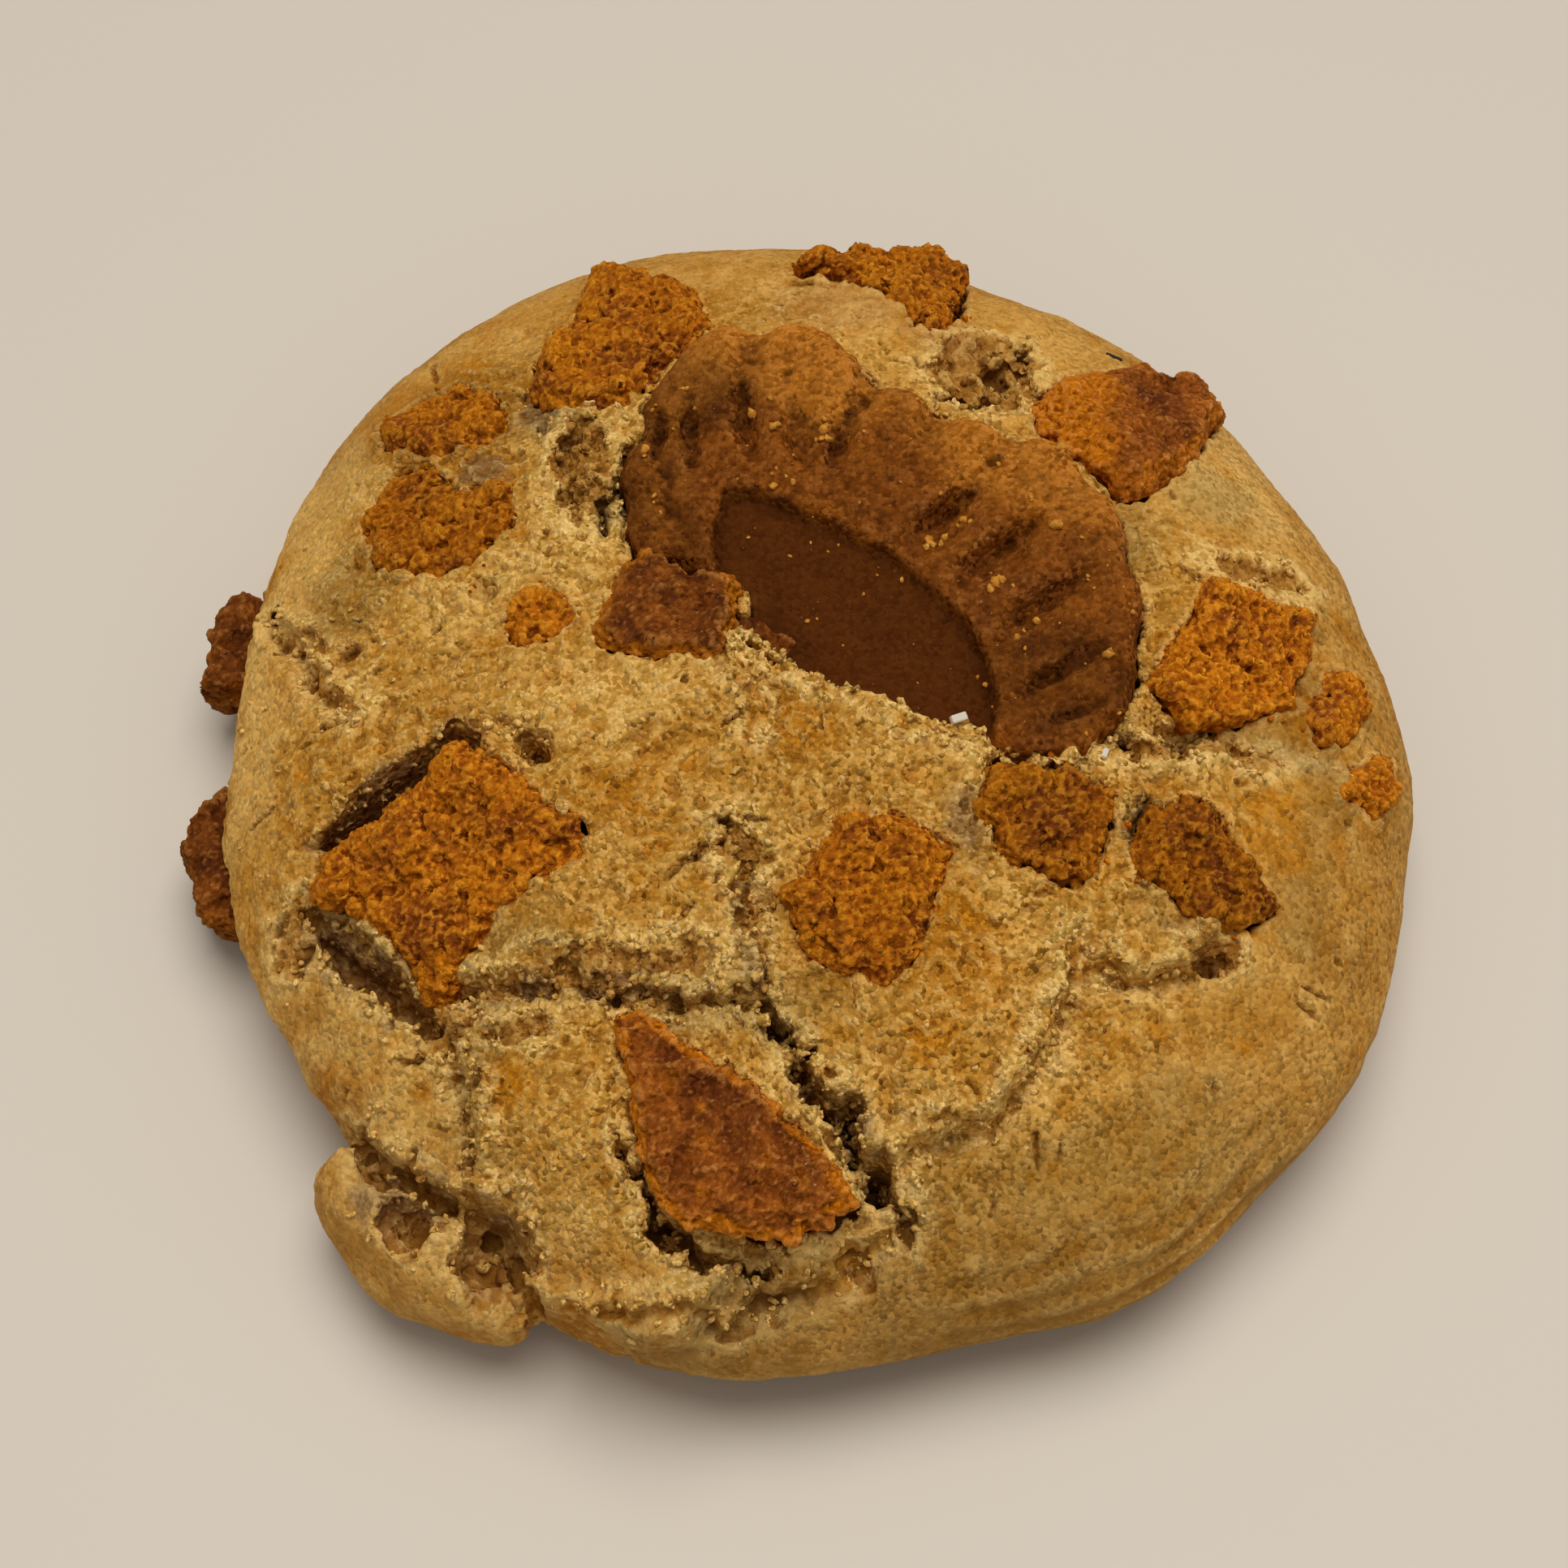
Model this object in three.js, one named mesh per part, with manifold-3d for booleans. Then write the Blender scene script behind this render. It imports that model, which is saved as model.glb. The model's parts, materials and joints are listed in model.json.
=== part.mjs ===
// A thick soft-baked cookie with broken spiced biscuit pieces and half a pressed biscuit sunk in its top.
// Units are millimetres and +Z is up. The origin is on the flat base, under the middle of the dough.
// -Y is the front.
import * as THREE from "three";
import { mergeVertices } from "three/addons/utils/BufferGeometryUtils.js";
import Module from "manifold-3d";

const wasm = await Module();
wasm.setup();

// Driving dimensions of the dough
const doughHeight = 25;
const waistHeight = 8.5;
const footShare = 0.87;
const domePower = 2.6;
const shoulderPower = 0.6;
const roundSteps = 80;
const topSteps = 18;
const underSteps = 3;
const crackStep = 2.4;
const fitGap = 0.35;
const tornShare = 0.11;
const openHeight = 9;

// How the dome's rings crowd towards its shoulder, and how far in the crust takes its full relief
const ringSpread = 0.8;
const shoulderShare = 1 / 8;

// Small unevenness of the crust and of the waist
const crustLump = { height: 0.5, size: 6 };
const waistLump = { share: 0.008, size: 3, perRadian: 14 };

// A crack narrows to its floor, opens at its mouth and has ragged sides
const crackFloor = 0.55;
const crackMouth = 1.25;
const crackRagged = 0.35;
const crackAbove = 3;

// A broken piece: the depth of its slanted top edge, how far its top and foot draw in, and its crags
const pieceShoulder = 0.16;
const pieceTop = 0.87;
const pieceFoot = 0.8;
const cragDepth = 0.5;
const cragSize = 2.2;

// The widest outline of the dough, seen from above
const waistOutline = [
  [47.6, -2], [45.5, 11], [41.2, 21.8], [31.3, 35.3], [16.9, 44.3], [0, 49.2], [-18, 47.3],
  [-33.3, 37.7], [-42.7, 22.7], [-46.1, 6.1], [-45.9, -10.1], [-41.6, -21.3], [-35.3, -31.2], [-24.9, -41.9],
  [-12.5, -48.2], [-3, -49.4], [4.5, -48.2], [13.5, -46.4], [25.5, -42.8], [36.5, -32.6], [42, -26.2],
  [44.9, -18],
];

// Soft rises (+) and hollows (-) of the crust: middle, reach and height
const swells = [
  { at: [2, -4.5], reach: 7, rise: 1.3 },
  { at: [-15, -5], reach: 9, rise: 0.9 },
  { at: [-20, -31], reach: 7, rise: 1.1 },
  { at: [9, -29], reach: 7.5, rise: 1.6 },
  { at: [-9, -42], reach: 6, rise: 1.2 },
  { at: [-18, 21], reach: 3, rise: 1.4 },
  { at: [30, 12], reach: 8, rise: 0.8 },
  { at: [-40, -4], reach: 7, rise: 0.8 },
  { at: [-34, -26], reach: 5, rise: 0.9 },
  { at: [22, -19], reach: 5, rise: 0.9 },
  { at: [-30, -20], reach: 7, rise: -1.2 },
  { at: [-14, -23.5], reach: 4, rise: -1.1 },
  { at: [-23, 26], reach: 4, rise: -1.2 },
  { at: [13, 28], reach: 4, rise: -0.8 },
  { at: [12, -36.5], reach: 4, rise: -0.8 },
];

// Cracks and folds that part the crust: each stop is x, y, width and depth
const cracks = {
  deepSplit: [
    [-3.8, -24.6, 1.2, 4], [-2.4, -27.4, 1.7, 5], [-0.4, -30, 2.4, 7], [1.6, -32.8, 2.7, 8],
    [4, -35.4, 2.3, 7], [6.2, -37, 1.2, 4], [5.2, -40.4, 0.8, 2.5],
  ],
  splitUpward: [[-3.8, -24.6, 1.2, 4], [-4.4, -20, 1.3, 3], [-5.3, -16, 1.2, 2.8], [-7.2, -12, 1, 2]],
  middleTrench: [
    [-4, -25, 1.4, 3], [-8, -24.4, 1.9, 3], [-12, -24.2, 2.2, 3.2], [-16, -23, 2.2, 3],
    [-20, -22.3, 2, 3], [-25, -23.6, 1.4, 2.6],
  ],
  leftHollow: [
    [-37.6, -16.4, 1.6, 3.5], [-35.6, -18.9, 3.2, 4.5], [-32.6, -21.2, 3.2, 4.8],
    [-29.2, -24, 2, 4.5], [-26.6, -26.6, 1.8, 3.5],
  ],
  lowerSeam: [[-26.4, -26.8, 1, 2.4], [-25.4, -30.6, 0.8, 2], [-24.8, -34, 0.8, 2], [-25, -37, 1, 2.4]],
  archSeam: [
    [-38, -10, 0.9, 1.6], [-35, -7.8, 1.8, 2.4], [-31.4, -5.2, 1.8, 2.4], [-27.5, -2.7, 1.3, 2],
    [-23, -3, 1.1, 1.8], [-20, -4.8, 0.7, 1.3],
  ],
  leftSeam: [[-43, 11.6, 0.8, 1.2], [-40, 7.4, 0.8, 1.2], [-38, 3.2, 1, 1.4], [-35, 0.2, 0.7, 1.2]],
  rightLedge: [
    [19.2, -19.6, 0.8, 1.2], [18.2, -23.8, 1, 1.8], [17.4, -27.2, 0.9, 1.8], [15.2, -30.6, 1, 1.8],
    [12, -33.8, 1, 1.8], [6.8, -35.6, 1, 2],
  ],
  rightCrumbs: [[19.4, -22.6, 0.7, 1.2], [24, -22.8, 0.7, 1.2], [28.4, -21.6, 1, 2], [29.8, -19.6, 1.6, 2.6]],
  biscuitSeam: [[-6.2, 2, 1, 2.2], [-5.4, -1.4, 1.1, 2], [-5, -5.2, 0.8, 1.6]],
  sideSeam: [[24.4, -4.7, 1, 2], [29.5, -3.4, 1, 1.6], [35.6, -4.2, 0.7, 1.2]],
  frontFold: [
    [-20.4, -45.4, 1.1, 3], [-14, -46.3, 1.1, 3], [-7, -46, 1.1, 3], [-1.4, -44.7, 1.1, 3],
    [2.6, -42.8, 1.2, 3], [5.2, -40.4, 0.9, 2.5],
  ],
  wedgeGap: [
    [-13.9, -34.6, 1, 4], [-13, -38, 1.8, 5.5], [-11.6, -41, 2, 5.5], [-8, -43.2, 1.8, 5],
    [-2.6, -44, 1.2, 3.5],
  ],
  knobGap: [
    [-35.4, -31, 1.2, 3], [-31, -34.4, 1.5, 4], [-27.6, -37, 1.7, 4.5], [-23.6, -38.8, 2.2, 5.5],
    [-21.6, -42.4, 1.8, 5], [-20, -46, 1.4, 5],
  ],
  rearCrumbs: [[10.6, 27.4, 1.2, 2], [13.2, 26.6, 1.4, 2.2], [15.4, 29.4, 1.2, 2], [17.4, 33, 1, 1.4]],
};

// Torn craters in the knob and beside the pieces: middle, half sizes
const craters = [
  { at: [-33, -34.4, 12.6], half: [2.6, 1.7, 2.4] },
  { at: [-30.4, -38.8, 12.4], half: [2.4, 1.9, 2.2] },
  { at: [-24.6, -41.2, 12.4], half: [2.1, 3, 3] },
  { at: [29.8, -20.4, 20.5], half: [1.5, 1.3, 2.2] },
  { at: [3.6, -43.8, 13.8], half: [1.6, 1.1, 1.4] },
  { at: [-8.2, -13.8, 25.6], half: [1.2, 1.4, 1.8] },
];

// The knob of dough that bulges out at the front left
const knob = { at: [-28.7, -37.7, 6.2], half: [10.5, 6.4, 7], turn: -40 };

// Corners of each broken piece seen from above, how far it stands proud, and its thickness.
// `lean` lifts the rear edge of a piece by degrees; `level` is the height of one that sticks out sideways.
const chunks = [
  {
    name: "chunk_left_large", proud: 0.5, thick: 7, crag: 0.7, seed: 11,
    corners: [
      [-26.8, -4.8], [-22, -9], [-18, -11.6], [-18.3, -15], [-23.4, -17.4], [-25.8, -20], [-28, -24],
      [-30.4, -21], [-33.4, -16.8], [-38.2, -14.6], [-37.8, -12], [-32, -8.6],
    ],
  },
  {
    name: "chunk_centre", proud: 1, thick: 7, crag: 0.4, seed: 12,
    corners: [
      [2.6, -11.8], [6.4, -11.6], [10.6, -14], [8.8, -18], [7.8, -21.6], [5.6, -24.5], [0.6, -22.6],
      [-1.8, -17.6], [0.9, -14.6],
    ],
  },
  {
    name: "chunk_centre_right", proud: 0.7, thick: 6.5, crag: 0.4, seed: 13,
    corners: [
      [13.4, -7.6], [19, -7.2], [22.9, -8.8], [22.2, -11.8], [20.8, -15], [17.6, -16.2], [14.2, -14.4],
      [12.3, -10.4],
    ],
  },
  {
    name: "chunk_right_low", proud: 0.6, thick: 6, crag: 0.7, seed: 14,
    corners: [
      [25.2, -10.2], [28, -8.8], [30.6, -9.4], [32, -12.4], [35, -16.6], [32.6, -18.4], [28, -17.4],
      [24.6, -15.6], [23.9, -12.6],
    ],
  },
  {
    name: "chunk_front_wedge", proud: 1.2, thick: 7, crag: 0.35, seed: 15,
    corners: [
      [-14.6, -27], [-12.4, -26.8], [-9.8, -29], [-5.4, -31.6], [-1.4, -35], [2.9, -40.4], [1.2, -42.2],
      [-1.6, -43], [-9.4, -41.6], [-11.6, -39.2], [-12.8, -35], [-13.9, -30],
    ],
  },
  {
    name: "chunk_by_biscuit", proud: 1.3, thick: 6.5, crag: 0.3, seed: 16,
    corners: [
      [-13.2, 11.6], [-9.6, 9.4], [-6, 8.4], [-5.9, 5], [-7, 1.4], [-11, 1.9], [-16.6, 3.6], [-15.4, 8],
    ],
  },
  {
    name: "chunk_rear_left", proud: 0.6, thick: 7, crag: 0.6, seed: 17,
    corners: [
      [-22.3, 28.5], [-20, 26.8], [-15.2, 26.4], [-12.8, 29.7], [-10.4, 32], [-8.9, 35], [-10, 39.4],
      [-14.6, 42.4], [-18, 41.4], [-19, 36.6], [-22.2, 31.8],
    ],
  },
  {
    name: "chunk_rear", proud: 1.2, lean: 12, thick: 6, crag: 0.5, seed: 18,
    corners: [
      [-1.4, 42], [4.4, 41.2], [7.2, 38], [9.2, 34.8], [11.6, 35.8], [12.6, 39.6], [13.6, 43.8],
      [10.8, 47], [6, 45.3], [0, 44.1],
    ],
  },
  {
    name: "chunk_rear_right", proud: 1, thick: 6.5, crag: 0.4, seed: 19,
    corners: [
      [18.6, 25], [20.6, 22.6], [24.8, 19], [27.4, 20.2], [31, 24.4], [33.8, 30.4], [32.6, 33.2], [27.6, 34.2],
      [21.6, 31.2], [18.4, 27.6],
    ],
  },
  {
    name: "chunk_right", proud: 0.6, thick: 6, crag: 0.6, seed: 20,
    corners: [
      [31.4, 10], [35, 9.9], [39.6, 9.6], [39.2, 5.6], [37.2, 0.6], [33, -1.2], [29.4, -2.4], [26.4, 0.4],
      [28.6, 4.4],
    ],
  },
  {
    name: "chunk_right_edge_small", proud: 0.4, thick: 4, crag: 0.4, seed: 21,
    corners: [[41, 5.2], [43.2, 5], [43.2, 1.8], [41.8, -1.2], [39.6, -2], [39, 0.6]],
  },
  {
    name: "chunk_right_edge", proud: 0.4, thick: 4, crag: 0.4, seed: 22,
    corners: [[45.6, -1.2], [45.4, -4.2], [43.8, -7], [41, -6], [42, -4.2], [43.8, -2.4]],
  },
  {
    name: "chunk_left_upper", proud: 0.4, thick: 6, crag: 0.8, seed: 23,
    corners: [
      [-32, 30.2], [-29, 31], [-26, 29.2], [-24.9, 26.4], [-27, 24], [-30.6, 24], [-34.4, 26], [-35.2, 28.4],
    ],
  },
  {
    name: "chunk_left_middle", proud: 0.4, thick: 6.5, crag: 0.8, seed: 24,
    corners: [
      [-33.2, 22.6], [-30.6, 22.2], [-28, 19.2], [-24, 18.8], [-23.8, 15], [-27, 12], [-29.2, 11.2],
      [-34.4, 13], [-35.6, 17.4],
    ],
  },
  {
    name: "chunk_left_small", proud: 0.3, thick: 4, crag: 0.5, seed: 25,
    corners: [[-23.8, 6], [-22.2, 8.1], [-19.8, 8.2], [-18.5, 6.2], [-20.2, 3.9], [-23, 3.6]],
  },
  {
    name: "chunk_side_rear", level: 9, thick: 6, crag: 0.4, seed: 26,
    corners: [
      [-46.2, 16.9], [-47.2, 16], [-48.4, 14.2], [-48.9, 11], [-49.7, 8], [-47.5, 7.2], [-44, 8.6],
      [-42.4, 11.4], [-43.4, 16],
    ],
  },
  {
    name: "chunk_side_front", level: 8.2, thick: 6, crag: 0.4, seed: 27,
    corners: [
      [-46.6, -0.6], [-48.4, -1.5], [-49.9, -3.3], [-50.3, -5.3], [-49.3, -7.2], [-49, -9.8], [-47.8, -12.1],
      [-46, -13], [-43.6, -13.6], [-42, -9], [-43, -3.4],
    ],
  },
];

// Half of a round pressed biscuit: its scalloped rim, then its broken edge
const biscuit = {
  name: "biscuit_half",
  middle: [3, 12, 25],
  leanBack: 3.5,
  leanSide: -3.5,
  thick: 5.6,
  edgeRound: 1.5,
  rim: [
    [-14.2, 12.6], [-15.7, 16.8], [-14.2, 22.4], [-12.4, 26.8], [-8, 31.7], [-1.6, 32.1], [2.8, 29],
    [8, 25.6], [14, 22.6], [19.6, 20.2], [23.2, 15.6], [24.9, 9], [24.8, 2], [23.4, -2.6],
  ],
  brokenEdge: [
    [20.8, -5.6], [17, -6.1], [12, -5.2], [8, -3.6], [3, -1.6], [-1.6, 0.4], [-4.4, 2.6], [-4.9, 8.8],
    [-8.8, 10.6], [-12.2, 12.6],
  ],
  rimSteps: 45,
  // Notches between the lobes of the rim
  notches: [
    [-15.6, 16.6], [-14.2, 23], [-4.4, 32.2], [5, 27.4], [10.8, 24.4], [16.4, 21.8], [21.8, 17.4],
    [24.7, 10], [24.8, 3],
  ],
  notchReach: 1.6,
  notchDepth: 0.9,
  panelDepth: 1,
  panel: [
    [-7.4, 9.6], [-7.8, 13.4], [-7, 17], [-4, 16.8], [0, 14.8], [3, 13], [6, 11.3], [9, 8.8], [11.4, 5.8],
    [13.2, 2.4], [13.9, -1.6], [13.2, -9], [-10, -4],
  ],
  // Creases pressed across the rim: inner end, outer end, width, depth
  creases: [
    { from: [-12.4, 20], to: [-12.2, 24], width: 1.3, depth: 1 },
    { from: [-9.6, 18.6], to: [-9.8, 25], width: 1.5, depth: 0.9 },
    { from: [-5, 19.6], to: [-5.6, 26.6], width: 1.6, depth: 1 },
    { from: [-1, 18.8], to: [-1.8, 23], width: 1.6, depth: 1.1 },
    { from: [1.4, 18.4], to: [2.4, 22.4], width: 1.5, depth: 1.2 },
    { from: [8.2, 13.4], to: [13, 16.8], width: 1.5, depth: 1.5 },
    { from: [12, 9.8], to: [17.6, 13.8], width: 1.6, depth: 1.4 },
    { from: [14.6, 5.2], to: [21.6, 9.4], width: 1.7, depth: 1.4 },
    { from: [16, -0.4], to: [22.8, 3], width: 1.6, depth: 1.2 },
    { from: [17.6, -3.6], to: [22.4, -1.6], width: 1.2, depth: 0.9 },
  ],
};

// A repeatable number from 0 to 1 for a whole-numbered place
function scatter(i, j, k, seed) {
  const h = Math.sin(i * 127.1 + j * 311.7 + k * 74.7 + seed * 53.3) * 43758.5453;
  return h - Math.floor(h);
}

// Smooth noise from -1 to 1 with lumps about `size` across
function lumpy(x, y, z, size, seed) {
  const place = [x / size, y / size, z / size];
  const low = place.map(Math.floor);
  const part = place.map((v, n) => THREE.MathUtils.smoothstep(v - low[n], 0, 1));
  let sum = 0;
  for (let corner = 0; corner < 8; corner++) {
    const step = [corner & 1, (corner >> 1) & 1, corner >> 2];
    const weight = step.reduce((w, s, n) => w * (s ? part[n] : 1 - part[n]), 1);
    sum += weight * scatter(low[0] + step[0], low[1] + step[1], low[2] + step[2], seed);
  }
  return 2 * sum - 1;
}

// The distance from the origin to a closed outline, along each angle
function reachOf(points) {
  const edges = points.map((p, i) => [p, points[(i + 1) % points.length]]);
  return (angle) => {
    const dx = Math.cos(angle);
    const dy = Math.sin(angle);
    let reach = 0;
    for (const [a, b] of edges) {
      const ex = b[0] - a[0];
      const ey = b[1] - a[1];
      const turn = dx * ey - dy * ex;
      if (Math.abs(turn) < 1e-9) continue;
      const along = (a[0] * ey - a[1] * ex) / turn;
      const share = (a[0] * dy - a[1] * dx) / turn;
      if (along > 0 && share >= 0 && share <= 1) reach = Math.max(reach, along);
    }
    return reach;
  };
}

// A smooth closed curve through the points of an outline
function smoothOutline(points, steps) {
  const corners = points.map(([x, y]) => new THREE.Vector3(x, y, 0));
  const curve = new THREE.CatmullRomCurve3(corners, true, "catmullrom", 0.5);
  return curve.getPoints(steps).slice(0, -1).map((p) => [p.x, p.y]);
}

const doughReach = reachOf(smoothOutline(waistOutline, 240));

// The height of the crust over a point of the plan
function crustHeight(x, y) {
  const share = Math.min(1, Math.hypot(x, y) / doughReach(Math.atan2(y, x)));
  const arch = (1 - share ** domePower) ** shoulderPower;
  const inland = Math.min(1, (1 - share) / shoulderShare);
  let height = waistHeight + (doughHeight - waistHeight) * arch;
  for (const { at, reach, rise } of swells)
    height += inland * rise * Math.exp(-(((x - at[0]) / reach) ** 2) - ((y - at[1]) / reach) ** 2);
  return height + inland * crustLump.height * lumpy(x, y, 0, crustLump.size, 3);
}

// The outward direction of the crust over a point of the plan
function crustNormal(x, y) {
  const step = 1.5;
  const slopeX = (crustHeight(x + step, y) - crustHeight(x - step, y)) / (2 * step);
  const slopeY = (crustHeight(x, y + step) - crustHeight(x, y - step)) / (2 * step);
  return new THREE.Vector3(-slopeX, -slopeY, 1).normalize();
}

// Moves every vertex of a geometry by a rule
function reshape(geometry, rule) {
  const place = geometry.attributes.position;
  const v = new THREE.Vector3();
  for (let i = 0; i < place.count; i++) {
    v.fromBufferAttribute(place, i);
    rule(v);
    place.setXYZ(i, v.x, v.y, v.z);
  }
  return geometry;
}

// A closed mesh of three.js as a solid that can be joined and cut
function solidOf(geometry) {
  const bare = geometry.clone();
  bare.deleteAttribute("normal");
  bare.deleteAttribute("uv");
  const merged = mergeVertices(bare, 1e-4);
  const solid = new wasm.Manifold(
    new wasm.Mesh({
      numProp: 3,
      vertProperties: new Float32Array(merged.attributes.position.array),
      triVerts: new Uint32Array(merged.index.array),
    }),
  );
  if (solid.volume() < 0) throw new Error("a shape is inside out");
  return solid;
}

// The largest body of a solid, without loose scraps
function wholeOf(solid) {
  return solid.decompose().sort((a, b) => b.volume() - a.volume())[0];
}

function geometryOf(solid) {
  const mesh = solid.getMesh();
  const place = new Float32Array(mesh.numVert * 3);
  for (let i = 0; i < mesh.numVert; i++)
    place.set(mesh.vertProperties.subarray(i * mesh.numProp, i * mesh.numProp + 3), i * 3);
  const geometry = new THREE.BufferGeometry();
  geometry.setAttribute("position", new THREE.BufferAttribute(place, 3));
  geometry.setIndex(new THREE.BufferAttribute(new Uint32Array(mesh.triVerts), 1));
  geometry.computeVertexNormals();
  return geometry;
}

// A turned form about Z, from a profile of [radius, height] that runs from its foot to its top
function turned(profile, steps) {
  const points = profile.map(([r, z]) => new THREE.Vector2(r, z));
  return new THREE.LatheGeometry(points, steps).rotateX(Math.PI / 2);
}

// The bare dough: a flat foot, a rounded waist and a low dome
function doughForm() {
  const profile = [[0, 0], [0.5, 0]];
  for (let i = 0; i <= underSteps; i++) {
    const turn = (i / underSteps) * (Math.PI / 2);
    profile.push([footShare + (1 - footShare) * Math.sin(turn), waistHeight * (1 - Math.cos(turn))]);
  }
  for (let i = 1; i <= topSteps; i++) {
    const share = Math.cos((i / topSteps) * (Math.PI / 2)) ** ringSpread;
    profile.push([i === topSteps ? 0 : share, waistHeight + i]);
  }
  return reshape(turned(profile, roundSteps), (v) => {
    const angle = Math.atan2(v.y, v.x);
    const share = Math.hypot(v.x, v.y);
    const lump = lumpy(angle * waistLump.perRadian, v.z, 0, waistLump.size, 5);
    const uneven = 1 + waistLump.share * lump * Math.min(1, v.z);
    const reach = doughReach(angle) * share * uneven;
    const onTop = v.z > waistHeight + 0.5;
    v.x = reach * Math.cos(angle);
    v.y = reach * Math.sin(angle);
    if (onTop) v.z = crustHeight(v.x, v.y);
  });
}

// The knob is a lumpy egg that lies along the front left edge
function knobForm() {
  const { at, half, turn } = knob;
  const egg = new THREE.SphereGeometry(1, 22, 14);
  reshape(egg, (v) => {
    const swell = 1 + 0.1 * lumpy(v.x * 4, v.y * 4, v.z * 4, 2, 7);
    v.multiplyScalar(swell).multiply(new THREE.Vector3(...half));
  });
  egg.rotateZ(THREE.MathUtils.degToRad(turn));
  return egg.translate(...at);
}

// A ragged slot that follows the crust, to part it along a crack
function crackForm(stops, seed) {
  const path = stops.map(([x, y]) => new THREE.Vector3(x, y, 0));
  const curve = new THREE.CatmullRomCurve3(path, false, "catmullrom", 0.5);
  const stepCount = Math.max(4, Math.round(curve.getLength() / crackStep));
  const blend = (share, column) => {
    const place = share * (stops.length - 1);
    const low = Math.min(stops.length - 2, Math.floor(place));
    return THREE.MathUtils.lerp(stops[low][column], stops[low + 1][column], place - low);
  };
  const sides = [[], []];
  const spine = [];
  for (let i = 0; i <= stepCount; i++) {
    const share = i / stepCount;
    const p = curve.getPoint(share);
    const t = curve.getTangent(share);
    const ends = Math.sin(Math.PI * Math.min(Math.max(share, 0.04), 0.96)) ** 0.25;
    const half = (blend(share, 2) / 2) * ends;
    spine.push({ x: p.x, y: p.y, depth: blend(share, 3) * ends });
    for (const side of [0, 1]) {
      const ragged = half * (1 + crackRagged * (2 * scatter(i, side, 1, seed) - 1));
      const sign = side ? -1 : 1;
      sides[side].push([p.x - t.y * ragged * sign, p.y + t.x * ragged * sign]);
    }
  }
  const plan = new THREE.Shape([...sides[1], ...sides[0].reverse()].map(([x, y]) => new THREE.Vector2(x, y)));
  const slot = new THREE.ExtrudeGeometry(plan, { depth: 1, bevelEnabled: false });
  return reshape(slot, (v) => {
    const gapTo = (p) => Math.hypot(p.x - v.x, p.y - v.y);
    const near = spine.reduce((a, b) => (gapTo(a) < gapTo(b) ? a : b));
    const floor = v.z < 0.5;
    const surface = crustHeight(near.x, near.y);
    const narrow = floor ? crackFloor : crackMouth;
    v.x = near.x + (v.x - near.x) * narrow;
    v.y = near.y + (v.y - near.y) * narrow;
    v.z = floor ? surface - near.depth : surface + crackAbove;
  });
}

function craterForm({ at, half }) {
  const bowl = new THREE.SphereGeometry(1, 10, 6);
  reshape(bowl, (v) => {
    v.multiplyScalar(1 + 0.15 * lumpy(v.x * 5, v.y * 5, v.z * 5, 2, 9));
    v.multiply(new THREE.Vector3(...half));
  });
  return bowl.translate(...at);
}

// Where a piece sits: its middle on the crust and the turn that lays it flat there
function seatOf({ corners, proud = 0, lean = 0, level }) {
  const x = corners.reduce((s, c) => s + c[0], 0) / corners.length;
  const y = corners.reduce((s, c) => s + c[1], 0) / corners.length;
  const normal = level === undefined ? crustNormal(x, y) : new THREE.Vector3(0, 0, 1);
  normal.applyAxisAngle(new THREE.Vector3(1, 0, 0), THREE.MathUtils.degToRad(lean));
  const z = level === undefined ? crustHeight(x, y) : level;
  const turn = new THREE.Quaternion().setFromUnitVectors(new THREE.Vector3(0, 0, 1), normal);
  return { position: new THREE.Vector3(x, y, z).addScaledVector(normal, proud), normal, turn };
}

// The plan of a piece in the plane of its seat: each corner, and a torn place halfway to the next
function planOf({ corners, seed }, { position, normal, turn }) {
  const back = turn.clone().invert();
  const inPlane = corners.map(([x, y]) => {
    const dx = x - position.x;
    const dy = y - position.y;
    return new THREE.Vector3(dx, dy, -(normal.x * dx + normal.y * dy) / normal.z).applyQuaternion(back);
  });
  const round = inPlane.sort((a, b) => Math.atan2(a.y, a.x) - Math.atan2(b.y, b.x));
  return round.flatMap((corner, i) => {
    const halfway = corner.clone().lerp(round[(i + 1) % round.length], 0.35 + 0.3 * scatter(i, 1, 0, seed));
    return [corner, halfway.multiplyScalar(1 - tornShare * (scatter(i, 2, 0, seed) - 0.35))];
  });
}

// A turned form whose rings take the outline of a plan
function turnedToPlan(profile, plan, grow = 0) {
  return reshape(turned(profile, plan.length), (v) => {
    const turn = Math.atan2(v.y, v.x) + Math.PI / 2;
    const side = (Math.round((turn / (2 * Math.PI)) * plan.length) + plan.length) % plan.length;
    const share = Math.hypot(v.x, v.y);
    const edge = plan[side];
    const scale = share < 0.01 ? 0 : share + grow / Math.hypot(edge.x, edge.y);
    v.x = edge.x * scale;
    v.y = edge.y * scale;
  });
}

// A broken biscuit piece: a slab with torn sides and a craggy top
function chunkForm(piece, seat) {
  const { thick, crag, seed } = piece;
  const profile = [
    [0, -thick], [pieceFoot, -thick], [1, -pieceShoulder * thick], [pieceTop, 0], [0.5, 0.1], [0, 0.1],
  ];
  return reshape(turnedToPlan(profile, planOf(piece, seat)), (v) => {
    if (v.z > -cragDepth * thick) v.z += crag * (lumpy(v.x, v.y, 0, cragSize, seed) - 0.4);
  });
}

// The room that a piece needs in the dough: open upwards, or closed round one that sticks out at the side
function socketForm(piece, seat) {
  const { thick, crag, level } = piece;
  const top = level === undefined ? openHeight : 0.2 + crag + fitGap;
  const profile = [[0, -thick - fitGap], [1, -thick - fitGap], [1.02, top], [0, top]];
  const slot = turnedToPlan(profile, planOf(piece, seat), fitGap * 1.3);
  return slot.applyQuaternion(seat.turn).translate(...seat.position);
}

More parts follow.
